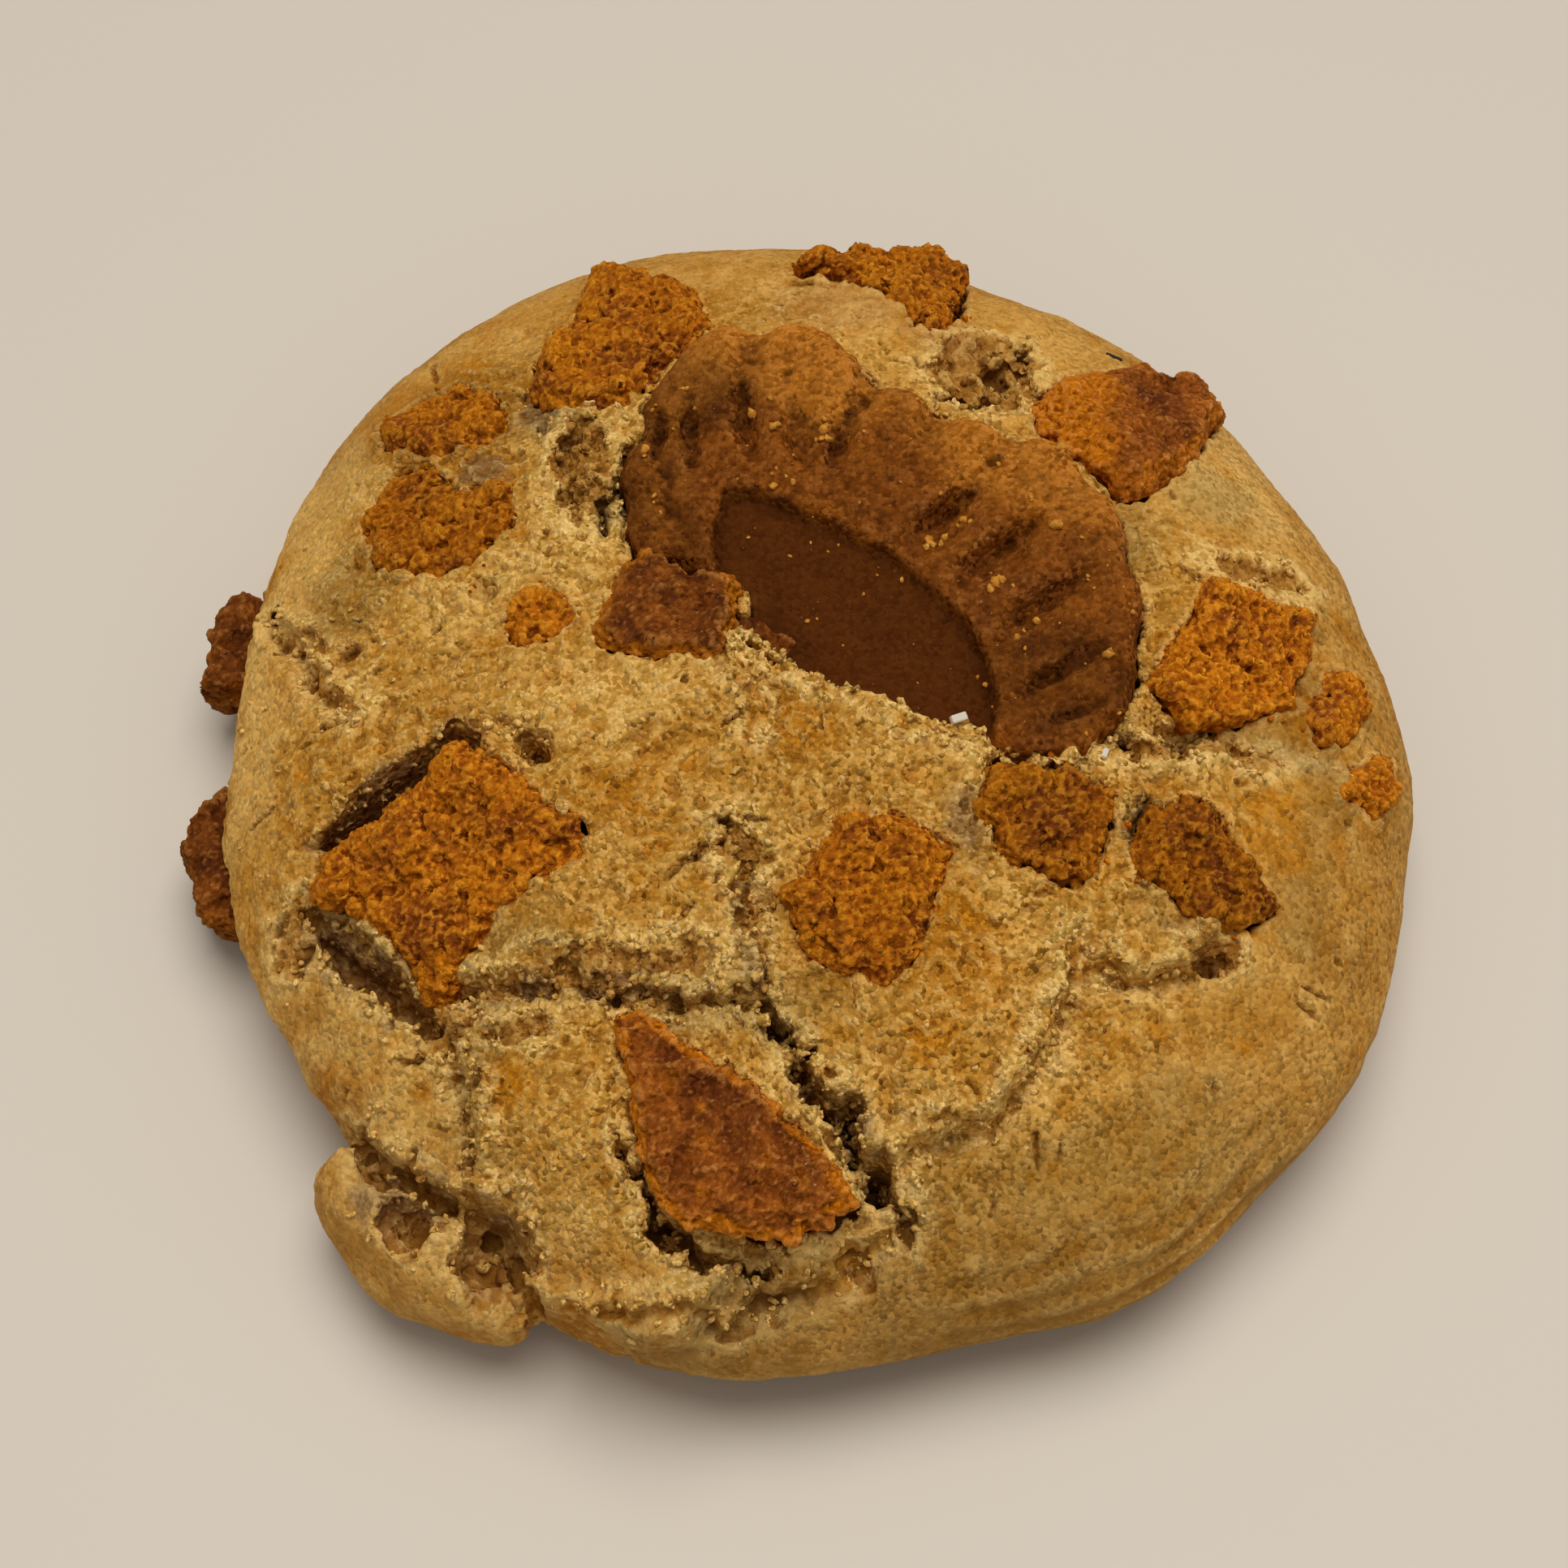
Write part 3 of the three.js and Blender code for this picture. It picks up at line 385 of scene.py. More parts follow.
class BiscuitSettings(bpy.types.PropertyGroup):
    """Sizes and colours of the pressed biscuit and the broken pieces"""

    fineness: length_property("Fineness", "Size of the smallest facet of the biscuit", 0.27)
    piece_fineness: length_property("Piece fineness", "Size of the smallest facet of a broken piece", 0.17)
    pore: length_property("Pore", "Depth of the pores of the broken pieces", 0.6)
    rim: colour_property("Rim", "Raised rim of the pressed biscuit", (146, 82, 22))
    # Partly a golden tone and partly painted highlight
    outer: colour_property("Outer edge", "Outer edge of the pressed biscuit's rim", (204, 130, 44))
    # The panel's own colour, also laid in the rim's creases as painted shade
    hollow: colour_property("Hollow", "Creases and panel of the pressed biscuit", (82, 40, 7))
    crumb: colour_property("Crumb", "Porous crumb of the broken pieces", (198, 116, 14))
    # Painted shade in the pores and hollows of the broken pieces
    crumb_pore_shade: colour_property("Deep crumb", "Pores of the broken pieces", (96, 46, 6))
    skin: colour_property("Skin", "Smooth baked skin of the broken pieces", (160, 88, 26))
    skin_dark: colour_property("Dark skin", "Darker places of the skin", (94, 44, 16))


class ScatterSettings(bpy.types.PropertyGroup):
    """Loose crumbs and sugar"""

    torn_count: count_property("Torn crumbs", "Crumbs along the torn edges", 2300)
    torn_size: length_property("Torn crumb size", "Radius of the largest torn crumb", 0.42)
    biscuit_count: count_property("Biscuit crumbs", "Dust on the pressed biscuit", 110)
    loose_count: count_property("Loose crumbs", "Orange crumbs beside the pieces", 260)
    seed: count_property("Seed", "Seed of the scatter", 7)


class StageSettings(bpy.types.PropertyGroup):
    """Floor, lights and camera"""

    elevation: FloatProperty(
        name="Elevation", description="Camera's angle above the floor", subtype="ANGLE",
        default=math.radians(64))
    distance: length_property("Distance", "Camera's distance from the point it looks at", 290)
    lens: FloatProperty(
        name="Lens", description="Focal length in millimetres on a 36 mm sensor", default=83.85)
    floor: colour_property("Floor", "Pale floor", (214, 206, 194))
    lamp: FloatProperty(name="Lamp", description="Strength of the overhead lamp", min=0, default=1.8)
    softness: FloatProperty(
        name="Softness", description="Width of the lamp in the sky", subtype="ANGLE", min=0,
        default=math.radians(44))
    room: FloatProperty(
        name="Room light", description="Strength of the light from all round", min=0, default=0.34)


def select_only(piece):
    """Leaves one object selected and active."""
    for other in bpy.context.view_layer.objects:
        other.select_set(False)
    piece.select_set(True)
    bpy.context.view_layer.objects.active = piece


def apply_modifier(piece, kind, **values):
    """Adds a modifier with its values and applies it to the mesh."""
    select_only(piece)
    modifier = piece.modifiers.new(kind.title(), kind)
    for name, value in values.items():
        setattr(modifier, name, value)
    bpy.ops.object.modifier_apply(modifier=modifier.name)


def copy_of_node(node, name):
    """A new piece with the merged mesh of a CAD node."""
    piece = bpy.data.objects.new(name, frame["nodes"][node].data.copy())
    bpy.context.scene.collection.objects.link(piece)
    piece.data.materials.clear()
    select_only(piece)
    bpy.ops.object.mode_set(mode="EDIT")
    bpy.ops.mesh.select_all(action="SELECT")
    bpy.ops.mesh.remove_doubles(threshold=0.002 * MM)
    bpy.ops.object.mode_set(mode="OBJECT")
    return piece


def remesh(piece, size):
    apply_modifier(piece, "REMESH", mode="VOXEL", voxel_size=size, use_smooth_shade=True)


def mesh_size(fineness):
    """The size of a mesh's facets: the fineness as it is."""
    return fineness * 1


def soften(piece, turns, group=""):
    apply_modifier(piece, "SMOOTH", factor=0.5, iterations=turns, vertex_group=group)


def places(piece):
    """The mesh's points in millimetres, one row each."""
    flat = np.empty(len(piece.data.vertices) * 3, np.float32)
    piece.data.vertices.foreach_get("co", flat)
    return flat.reshape(-1, 3).astype(float) / MM


def facings(piece):
    """The mesh's point normals, one row each."""
    flat = np.empty(len(piece.data.vertices) * 3, np.float32)
    piece.data.vertex_normals.foreach_get("vector", flat)
    return flat.reshape(-1, 3).astype(float)


def count_triangles(piece):
    return sum(len(face.vertices) - 2 for face in piece.data.polygons)


def give_group(piece, name, values):
    """A vertex group whose weights are the values, in steps of a hundredth."""
    group = piece.vertex_groups.new(name=name)
    steps = np.rint(np.clip(values, 0, 1) * 100).astype(int)
    for step in np.unique(steps):
        if step:
            group.add(np.nonzero(steps == step)[0].tolist(), step / 100, "REPLACE")


def give_attribute(piece, name, values):
    layer = piece.data.attributes.get(name) or piece.data.attributes.new(name, "FLOAT", "POINT")
    layer.data.foreach_set("value", np.asarray(values, np.float32))


def give_everywhere(piece, name, value):
    """An attribute with one value all over the piece."""
    give_attribute(piece, name, np.full(len(piece.data.vertices), value))


def texture_of(kind, size, **values):
    """A displacement texture with features of a size in millimetres."""
    name = f"{kind.lower()}_{size}"
    texture = bpy.data.textures.get(name) or bpy.data.textures.new(name, kind)
    texture.noise_scale = size * MM
    for key, value in values.items():
        setattr(texture, key, value)
    return texture


def push(piece, height, group="", texture=None, middle=0.0, direction="NORMAL"):
    """Moves the surface by a height in metres, where the group says so, by a texture if there is one."""
    apply_modifier(
        piece, "DISPLACE", strength=height, mid_level=middle, vertex_group=group, texture=texture,
        texture_coords="LOCAL", direction=direction)


def move(piece, heights, direction="NORMAL"):
    """Moves each point by its own height in millimetres."""
    furthest = np.abs(heights).max()
    for sign in (1, -1):
        give_group(piece, "moved", sign * heights / furthest)
        push(piece, sign * furthest * MM, "moved", direction=direction)
        piece.vertex_groups.remove(piece.vertex_groups["moved"])


def noise(points, size, seed):
    """Smooth noise from -1 to 1 with lumps about `size` millimetres across."""
    place = points / size + seed * 17.31
    low = np.floor(place).astype(np.int64)
    part = place - low
    part = part * part * (3 - 2 * part)
    total = np.zeros(len(points))
    for corner in np.ndindex(*(2,) * points.shape[1]):
        cell = low + corner
        mixed = cell[:, 0] * 73856093 ^ cell[:, 1] * 19349663 ^ seed * 2654435
        if points.shape[1] == 3:
            mixed ^= cell[:, 2] * 83492791
        mixed = (mixed ^ (mixed >> 13)) * 1274126177
        mixed = (mixed ^ (mixed >> 16)) & 0xFFFF
        total += np.prod(np.where(corner, part, 1 - part), axis=1) * mixed / 0xFFFF
    return 2 * total - 1


def smooth_step(low, high, values):
    share = np.clip((values - low) / (high - low), 0, 1)
    return share * share * (3 - 2 * share)


def read_crack(plan, stops):
    """Where each point of the plan lies beside a crack."""
    best = np.full(len(plan), np.inf)
    reach, side, along, share, depth = np.zeros((5, len(plan)))
    lengths = [math.dist(a[:2], b[:2]) for a, b in zip(stops, stops[1:])]
    walked = 0
    for (ax, ay, a_width, a_depth), (bx, by, b_width, b_depth), length in zip(stops, stops[1:], lengths):
        run = np.array([bx - ax, by - ay])
        offset = plan - (ax, ay)
        part = np.clip(offset @ run / length ** 2, 0, 1)
        gap = np.linalg.norm(offset - part[:, None] * run, axis=1)
        nearer = gap < best
        half = (a_width + (b_width - a_width) * part[nearer]) / 2
        best[nearer] = gap[nearer]
        reach[nearer] = gap[nearer] - half
        share[nearer] = gap[nearer] / np.maximum(half, 0.01)
        depth[nearer] = a_depth + (b_depth - a_depth) * part[nearer]
        side[nearer] = np.sign(run[0] * offset[:, 1] - run[1] * offset[:, 0])[nearer]
        along[nearer] = (walked + part * length)[nearer]
        walked += length
    return CrackPlace(reach, side, np.minimum(along, walked - along), share, depth)


def patch_reach(plan, patches):
    """How far each point of the plan is from the nearest patch, in millimetres, below 0 inside one."""
    reach = np.full(len(plan), np.inf)
    for x, y, half_length, half_width, turn in patches:
        angle = math.radians(turn)
        offset = plan - (x, y)
        along = offset @ (math.cos(angle), math.sin(angle)) / half_length
        across = offset @ (-math.sin(angle), math.cos(angle)) / half_width
        share = np.hypot(along, across)
        reach = np.minimum(reach, (share - 1) * min(half_length, half_width))
    return reach


def outline_reach(plan, outline):
    """How far each point of the plan is from a closed outline, in millimetres, below 0 inside it."""
    reach = np.full(len(plan), np.inf)
    inside = np.zeros(len(plan), bool)
    for (ax, ay), (bx, by) in zip(outline, outline[1:] + outline[:1]):
        reach = np.minimum(reach, read_crack(plan, [(ax, ay, 0, 0), (bx, by, 0, 0)]).reach)
        if ay != by:
            crossing = ax + (plan[:, 1] - ay) * (bx - ax) / (by - ay)
            inside ^= ((ay > plan[:, 1]) != (by > plan[:, 1])) & (plan[:, 0] < crossing)
    return np.where(inside, -reach, reach)


def give_relief(piece):
    """Two attributes that say how far the surface stands out (+) or lies deep (-), fine and broad."""
    mesh = piece.data
    points = places(piece)
    normals = facings(piece)
    pairs = np.empty(len(mesh.edges) * 2, np.int32)
    mesh.edges.foreach_get("vertices", pairs)
    first, second = pairs.reshape(-1, 2).T
    count = np.bincount(first, minlength=len(points)) + np.bincount(second, minlength=len(points))
    level = points.copy()
    done = 0
    for name, until in RELIEF_TURNS.items():
        while done < until:
            total = np.zeros_like(level)
            for axis in range(3):
                total[:, axis] = np.bincount(first, level[second, axis], len(points))
                total[:, axis] += np.bincount(second, level[first, axis], len(points))
            level = 0.5 * level + 0.5 * total / np.maximum(count, 1)[:, None]
            done += 1
        give_attribute(piece, name, np.einsum("ij,ij->i", points - level, normals))


def finish_piece(piece, slot, material, *nodes):
    """Gives a piece its material and its body, and hides the CAD nodes that it stands for; the slot is not
    used.
    """
    piece.data.validate()
    if not 0 < count_triangles(piece) < MOST_TRIANGLES:
        raise RuntimeError(f"{piece.name} has {count_triangles(piece)} triangles")
    piece.data.materials.clear()
    piece.data.materials.append(material)
    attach(piece, BODY)
    if nodes:
        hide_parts(*nodes)


def feed(tree, socket, value):
    """Links another socket to a socket, or sets its value."""
    if isinstance(value, bpy.types.NodeSocket):
        tree.links.new(value, socket)
    else:
        socket.default_value = value


def add_node(tree, kind, **sockets):
    """A shader node; keys that name a socket set or link it, and other keys set the node itself."""
    node = tree.nodes.new(kind)
    for key, value in sockets.items():
        if hasattr(node, key) and key not in node.inputs:
            setattr(node, key, value)
    for key, value in sockets.items():
        named = [s for s in node.inputs if s.name.replace(" ", "_") == key or s.identifier == key]
        if named:
            feed(tree, named[0], value)
    return node


def blend_colours(tree, share, first, second, kind="MIX"):
    """A mix of two colours, each a socket or a linear colour."""
    mix = tree.nodes.new("ShaderNodeMix")
    mix.data_type = "RGBA"
    mix.blend_type = kind
    mix.clamp_factor = True
    feed(tree, mix.inputs[0], share)
    for socket, value in ((mix.inputs[6], first), (mix.inputs[7], second)):
        feed(tree, socket, value if isinstance(value, bpy.types.NodeSocket) else (*value, 1))
    return mix.outputs[2]


def attribute_of(tree, name):
    return add_node(tree, "ShaderNodeAttribute", attribute_name=name).outputs["Fac"]


def ranged(tree, value, low, high, to_low=0.0, to_high=1.0):
    """A value moved from one range to another and kept inside it."""
    node = add_node(tree, "ShaderNodeMapRange", Value=value)
    node.inputs["From Min"].default_value = low
    node.inputs["From Max"].default_value = high
    node.inputs["To Min"].default_value = to_low
    node.inputs["To Max"].default_value = to_high
    return node.outputs["Result"]


def calculate(tree, first, second, operation="MULTIPLY"):
    """The product of two values, or the result of another calculation."""
    node = tree.nodes.new("ShaderNodeMath")
    node.operation = operation
    for socket, value in zip(node.inputs, (first, second)):
        feed(tree, socket, value)
    return node.outputs[0]


def noise_of(tree, size, detail=2.0, roughness=0.5):
    """Shader noise with features of a size in millimetres, on the object's own coordinates."""
    place = add_node(tree, "ShaderNodeTexCoord").outputs["Object"]
    node = add_node(
        tree, "ShaderNodeTexNoise", Vector=place, Scale=1 / (size * MM), Detail=detail, Roughness=roughness)
    return node.outputs["Fac"]


def vector_math(tree, operation, first, second):
    """The result of a vector calculation, a value for a dot product and a vector for the others."""
    node = tree.nodes.new("ShaderNodeVectorMath")
    node.operation = operation
    for socket, value in zip(node.inputs, (first, second)):
        feed(tree, socket, value)
    return node.outputs["Value" if operation == "DOT_PRODUCT" else "Vector"]


def grain_group():
    """A node group with the sandy grain that every baked surface shares: brightness, bump height and sugar
    glints. Each grain is a facet with its own tilt."""
    if "baked_grain" in bpy.data.node_groups:
        return bpy.data.node_groups["baked_grain"]
    group = bpy.data.node_groups.new("baked_grain", "ShaderNodeTree")
    for name in ("Brightness", "Height", "Glint"):
        group.interface.new_socket(name, in_out="OUTPUT", socket_type="NodeSocketFloat")
    place = add_node(group, "ShaderNodeTexCoord").outputs["Object"]
    size = 0.36 * MM
    grains = add_node(group, "ShaderNodeTexVoronoi", Vector=place, Scale=1 / size)
    chances = add_node(group, "ShaderNodeSeparateColor", Color=grains.outputs["Color"])
    soft = calculate(group, noise_of(group, 0.5, 2, 0.5), 0.3)
    bright = calculate(group, calculate(group, chances.outputs["Red"], 0.7), soft, "ADD")
    offset = vector_math(group, "SUBTRACT", place, grains.outputs["Position"])
    slant = vector_math(group, "SUBTRACT", grains.outputs["Color"], (0.5, 0.5, 0.5))
    facet = calculate(group, vector_math(group, "DOT_PRODUCT", offset, slant), 2.4 / size)
    rounded = calculate(group, calculate(group, 1.0, grains.outputs["Distance"], "SUBTRACT"), 0.5)
    domed = calculate(group, facet, rounded, "ADD")
    height = calculate(group, domed, calculate(group, noise_of(group, 0.2, 2, 0.6), 0.4), "ADD")
    rare = ranged(group, chances.outputs["Green"], 0.96, 0.99)
    near = ranged(group, grains.outputs["Distance"], 0.3, 0.14)
    end = group.nodes.new("NodeGroupOutput")
    group.links.new(ranged(group, bright, 0.25, 0.75), end.inputs["Brightness"])
    group.links.new(height, end.inputs["Height"])
    group.links.new(calculate(group, rare, near), end.inputs["Glint"])
    return group


def baked_material(name, colour_of, grain_strength, bump_depth, roughness, glint=0.35, shine=0.15, calm=""):
    """A matte baked surface; colour_of builds its colour before the shared grain is laid over it. Grain in
    shade is deeper in colour and grain in light is paler, and both weaken where `calm` is high."""
    material = bpy.data.materials.new(name)
    material.use_nodes = True
    tree = material.node_tree
    shader = tree.nodes["Principled BSDF"]
    grain = tree.nodes.new("ShaderNodeGroup")
    grain.node_tree = grain_group()
    colour = colour_of(tree)
    shade = tuple(1 - grain_strength * part for part in (0.85, 1.1, 2.1))
    light = tuple(1 + grain_strength * part for part in (0.85, 1.0, 1.6))
    darker = blend_colours(tree, 1.0, colour, shade, "MULTIPLY")
    lighter = blend_colours(tree, 1.0, colour, light, "MULTIPLY")
    grainy = blend_colours(tree, grain.outputs["Brightness"], darker, lighter)
    if calm:
        grainy = blend_colours(tree, attribute_of(tree, calm), grainy, colour)
    height, glints = grain.outputs["Height"], grain.outputs["Glint"]
    if calm:
        loudness = ranged(tree, attribute_of(tree, calm), 0, 1, 1, 0.3)
        height, glints = calculate(tree, height, loudness), calculate(tree, glints, loudness)
    sugared = blend_colours(tree, calculate(tree, glints, glint), grainy, tone(236, 224, 200))
    tree.links.new(sugared, shader.inputs["Base Color"])
    tree.links.new(ranged(tree, glints, 0, 1, roughness, 0.35), shader.inputs["Roughness"])
    shader.inputs["Specular IOR Level"].default_value = shine
    bump = add_node(tree, "ShaderNodeBump", Strength=1.0, Distance=bump_depth, Height=height)
    tree.links.new(bump.outputs["Normal"], shader.inputs["Normal"])
    return material


def dough_material(s):
    def colour(tree):
        fine = attribute_of(tree, "relief_fine")
        broad = attribute_of(tree, "relief_broad")
        mottle = ranged(tree, noise_of(tree, 4.5, 3, 0.6), 0.38, 0.62)
        crust = blend_colours(tree, mottle, s.crust, s.crust_dark)
        # Paler patches of the crust, partly painted light
        crust = blend_colours(tree, attribute_of(tree, "cream"), crust, s.cream)
        zone = ranged(tree, noise_of(tree, 9, 2, 0.5), 0.4, 0.6, 0.2, 1)
        flecks = calculate(tree, ranged(tree, noise_of(tree, 3.2, 3, 0.55), 0.54, 0.68, 0, 0.8), zone)
        painted = blend_colours(tree, flecks, crust, s.toast)
        layers = [
            # The browned layer is the baked foot and, on the walls, partly painted shade
            ("toast", s.toast), ("stain", s.toast), ("pale", s.pale), ("browned_and_wall_shade", s.base),
            # The slit layer is painted shade in slits, pits and the deep split
            ("torn", s.crumb), ("rosy", s.rosy), ("film", s.film), ("painted_slit_shade", tone(92, 56, 22)),
        ]
        for name, shade in layers:
            painted = blend_colours(tree, attribute_of(tree, name), painted, shade)
        # Painted shade in the broad and the fine hollows and painted highlight on the raised grain, read
        # from the relief of the mesh
        deep = blend_colours(tree, ranged(tree, broad, -0.2, -0.8, 0, 0.5), painted, tone(98, 58, 18))
        raised = blend_colours(tree, ranged(tree, fine, 0.01, 0.1, 0, 0.3), deep, s.pale)
        hollow = blend_colours(tree, ranged(tree, fine, -0.03, -0.14, 0, 0.4), raised, tone(146, 90, 14))
        # Painted shade where the darker patches lie
        return blend_colours(tree, attribute_of(tree, "shade"), hollow, (0.68, 0.7, 0.74), "MULTIPLY")

    return baked_material("baked_dough", colour, 0.3, 0.26 * MM, 0.82, calm="calm")


def baked_brightness(tree, colour):
    """The colour, brighter or darker as the piece's own bake says."""
    bake = attribute_of(tree, "bake")
    level = add_node(tree, "ShaderNodeCombineColor", Red=bake, Green=bake, Blue=bake).outputs["Color"]
    return blend_colours(tree, 1.0, colour, level, "MULTIPLY")


def crumb_material(s):
    def colour(tree):
        fine = attribute_of(tree, "relief_fine")
        broad = attribute_of(tree, "relief_broad")
        mottle = ranged(tree, noise_of(tree, 1.6, 3, 0.6), 0.35, 0.65)
        base = blend_colours(tree, mottle, s.crumb, tone(176, 94, 14))
        patches = ranged(tree, noise_of(tree, 4.6, 3, 0.6), 0.5, 0.62, 0, 0.85)
        base = blend_colours(tree, patches, base, tone(134, 64, 22))
        sunny = ranged(tree, noise_of(tree, 3.9, 3, 0.6), 0.46, 0.34, 0, 0.7)
        base = blend_colours(tree, sunny, base, tone(216, 134, 20))
        # Painted shade in the deep places and the pores and painted highlight on the raised crumb, read
        # from the relief
        deep = blend_colours(tree, ranged(tree, broad, 0.0, -0.5, 0, 0.65), base, s.crumb_pore_shade)
        darker = blend_colours(tree, ranged(tree, fine, -0.01, -0.1, 0, 0.5), deep, s.crumb_pore_shade)
        lit = blend_colours(tree, ranged(tree, fine, 0.005, 0.07, 0, 0.6), darker, tone(232, 152, 38))
        return baked_brightness(tree, lit)

    return baked_material("porous_crumb", colour, 0.26, 0.2 * MM, 0.85, shine=0.08)


def skin_material(s):
    def colour(tree):
        fine = attribute_of(tree, "relief_fine")
        mottle = ranged(tree, noise_of(tree, 3.0, 3, 0.6), 0.35, 0.65)
        skin = blend_colours(tree, mottle, s.skin, s.skin_dark)
        torn = blend_colours(tree, attribute_of(tree, "side"), skin, s.crumb)
        # Painted shade in the hollows and painted highlight on the raised skin, read from the relief
        darker = blend_colours(tree, ranged(tree, fine, 0.0, -0.06, 0, 0.6), torn, s.crumb_pore_shade)
        lit = blend_colours(tree, ranged(tree, fine, 0.01, 0.07, 0, 0.5), darker, tone(206, 136, 64))
        return baked_brightness(tree, lit)

    return baked_material("baked_skin", colour, 0.24, 0.14 * MM, 0.7, shine=0.06)


def biscuit_material(s):
    def colour(tree):
        fine = attribute_of(tree, "relief_fine")
        broad = attribute_of(tree, "relief_broad")
        mottle = ranged(tree, noise_of(tree, 3.4, 3, 0.6), 0.35, 0.68)
        rim = blend_colours(tree, mottle, s.rim, tone(112, 60, 20))
        # The outer edge: partly a golden tone and partly painted highlight
        lit = blend_colours(tree, calculate(tree, attribute_of(tree, "outer"), 0.85), rim, s.outer)
        # Painted shade in the creases of the rim; the panel keeps its own dark colour
        painted_crease_shade = blend_colours(tree, ranged(tree, broad, 0.02, -0.3, 0, 0.8), lit, s.hollow)
        panelled = blend_colours(tree, attribute_of(tree, "panel"), painted_crease_shade, s.hollow)
        # Painted shade in the fine hollows and painted highlight on the raised grain
        darker = blend_colours(tree, ranged(tree, fine, 0.0, -0.05, 0, 0.5), panelled, tone(70, 34, 8))
        lit = blend_colours(tree, ranged(tree, fine, 0.01, 0.06, 0, 0.35), darker, tone(186, 122, 56))
        # Painted shade where the rim's darker patches lie, partly over a browner rim
        return blend_colours(tree, attribute_of(tree, "shade"), lit, (0.6, 0.6, 0.6), "MULTIPLY")

    return baked_material(
        "pressed_biscuit", colour, 0.3, 0.16 * MM, 0.75, glint=0.15, shine=0.05, calm="calm")


def golden_material():
    def colour(tree):
        mottle = noise_of(tree, 0.8, 2, 0.5)
        return blend_colours(tree, mottle, tone(196, 126, 34), tone(222, 160, 66))

    return baked_material("golden_crumb", colour, 0.2, 0.1 * MM, 0.8)


def ragged(points):
    """The plan of points, shifted by noise so that whatever is drawn on it gets ragged edges."""
    waves = [(0.8, 3.0), (0.7, 1.3), (0.45, 0.6)]
    flat = points[:, :2]
    shifts = np.zeros((len(flat), 2))
    for column, seed in enumerate((3, 9)):
        for step, (height, size) in enumerate(waves):
            shifts[:, column] += height * noise(flat, size, seed + step)
    return flat + shifts


def crack_reach(plan, names):
    return np.minimum.reduce([read_crack(plan, CRACKS[name]).reach for name in names])


def torn_reach(plan):
    """The distance from open torn places, in millimetres, below 0 inside them."""
    return np.minimum(crack_reach(plan, OPEN_CRACKS), patch_reach(plan, TORN_PATCHES))


def ledges(points):
    """Ragged ledges of the crust that fall away and rise slowly again, from -1 to 1."""
    field = noise(points, 8.5, 71) + 0.35 * noise(points, 3.4, 72) + 0.13 * noise(points, 1.1, 73)
    turns = (field + 2) / 0.3
    part = turns - np.floor(turns)
    return 2 * part * smooth_step(1, 0.86, part) - 1


def tree_of(node):
    """The corners of a CAD node in millimetres, and a tree of its faces."""
    mesh = frame["nodes"][node].data
    corners = np.array([v.co for v in mesh.vertices]) / MM
    return corners, BVHTree.FromPolygons(corners.tolist(), [tuple(face.vertices) for face in mesh.polygons])


def is_covered(points, nodes):
    """Whether one of the CAD nodes lies over each point."""
    covered = np.zeros(len(points), bool)
    for node in nodes:
        corners, tree = tree_of(node)
        near = np.all((points > corners.min(0))[:, :2] & (points < corners.max(0))[:, :2], axis=1)
        for index in np.nonzero(near)[0]:
            covered[index] |= tree.ray_cast(points[index], (0, 0, 1))[0] is not None
    return covered


def distance_to(points, nodes, furthest=2.0):
    """The distance in millimetres from each point to the nearest of the CAD nodes, up to the furthest."""
    distance = np.full(len(points), furthest)
    for node in nodes:
        corners, tree = tree_of(node)
        near = np.all((points > corners.min(0) - furthest) & (points < corners.max(0) + furthest), axis=1)
        for index in np.nonzero(near)[0]:
            found = tree.find_nearest(points[index], furthest)[3]
            if found is not None:
                distance[index] = min(distance[index], found)
    return distance


def slits(points, count):
    """How far each point lies inside short slits and pits scattered over the crust, from 0 to 1."""
    rng = np.random.default_rng(29)
    plan = points[:, :2] + 0.12 * np.stack([noise(points, 0.6, 27), noise(points, 0.6, 28)], axis=1)
    inside = np.zeros(len(points))
    for _ in range(count):
        away = 46 * math.sqrt(rng.uniform())
        round_about, turn = rng.uniform(0, math.tau), rng.uniform(0, math.pi)
        x, y = away * math.cos(round_about), away * math.sin(round_about)
        half = 1.2 * rng.uniform() ** 2
        width = rng.uniform(0.1, 0.45)
        near = np.nonzero(np.abs(plan - (x, y)).max(axis=1) < half + 1)[0]
        across, up = half * math.cos(turn), half * math.sin(turn)
        ends = [(x - across, y - up, width, 0), (x + across + 0.01, y + up, width, 0)]
        reach = read_crack(plan[near], ends).reach
        inside[near] = np.maximum(inside[near], smooth_step(0.12, -0.12, reach))
    return inside


def roughness_of(points):
    """How crumbly the crust is, from 0.25 on its calm right and front to 1 between the pieces."""
    away = np.hypot(points[:, 0] + 10, points[:, 1] + 4) + 4 * noise(points, 7, 38)
    return 0.25 + 0.75 * smooth_step(46, 34, away)


def plate_lift(points, plan):
    """How much each point of the crust stands up or down beside the cracks, in millimetres. The edge of a
    higher plate that touches the lower one has a broken dark line under it."""
    lift = np.zeros(len(plan))
    for name, step in PLATE_STEPS.items():
        crack = read_crack(plan, CRACKS[name])
        gap = np.maximum(crack.reach, 0)
        high = crack.side * step > 0
        ends = smooth_step(0, 3, crack.along)
        lift += abs(step) * ends * np.where(high, np.exp(-gap / 5), -0.8 * np.exp(-gap / 3.5))
        if name in CLOSED_CRACKS:
            broken = smooth_step(-0.3, 0.3, noise(points, 2.6, 35))
            lift -= 0.9 * broken * ends * ~high * np.exp(-(gap / 0.45) ** 2)
    return lift


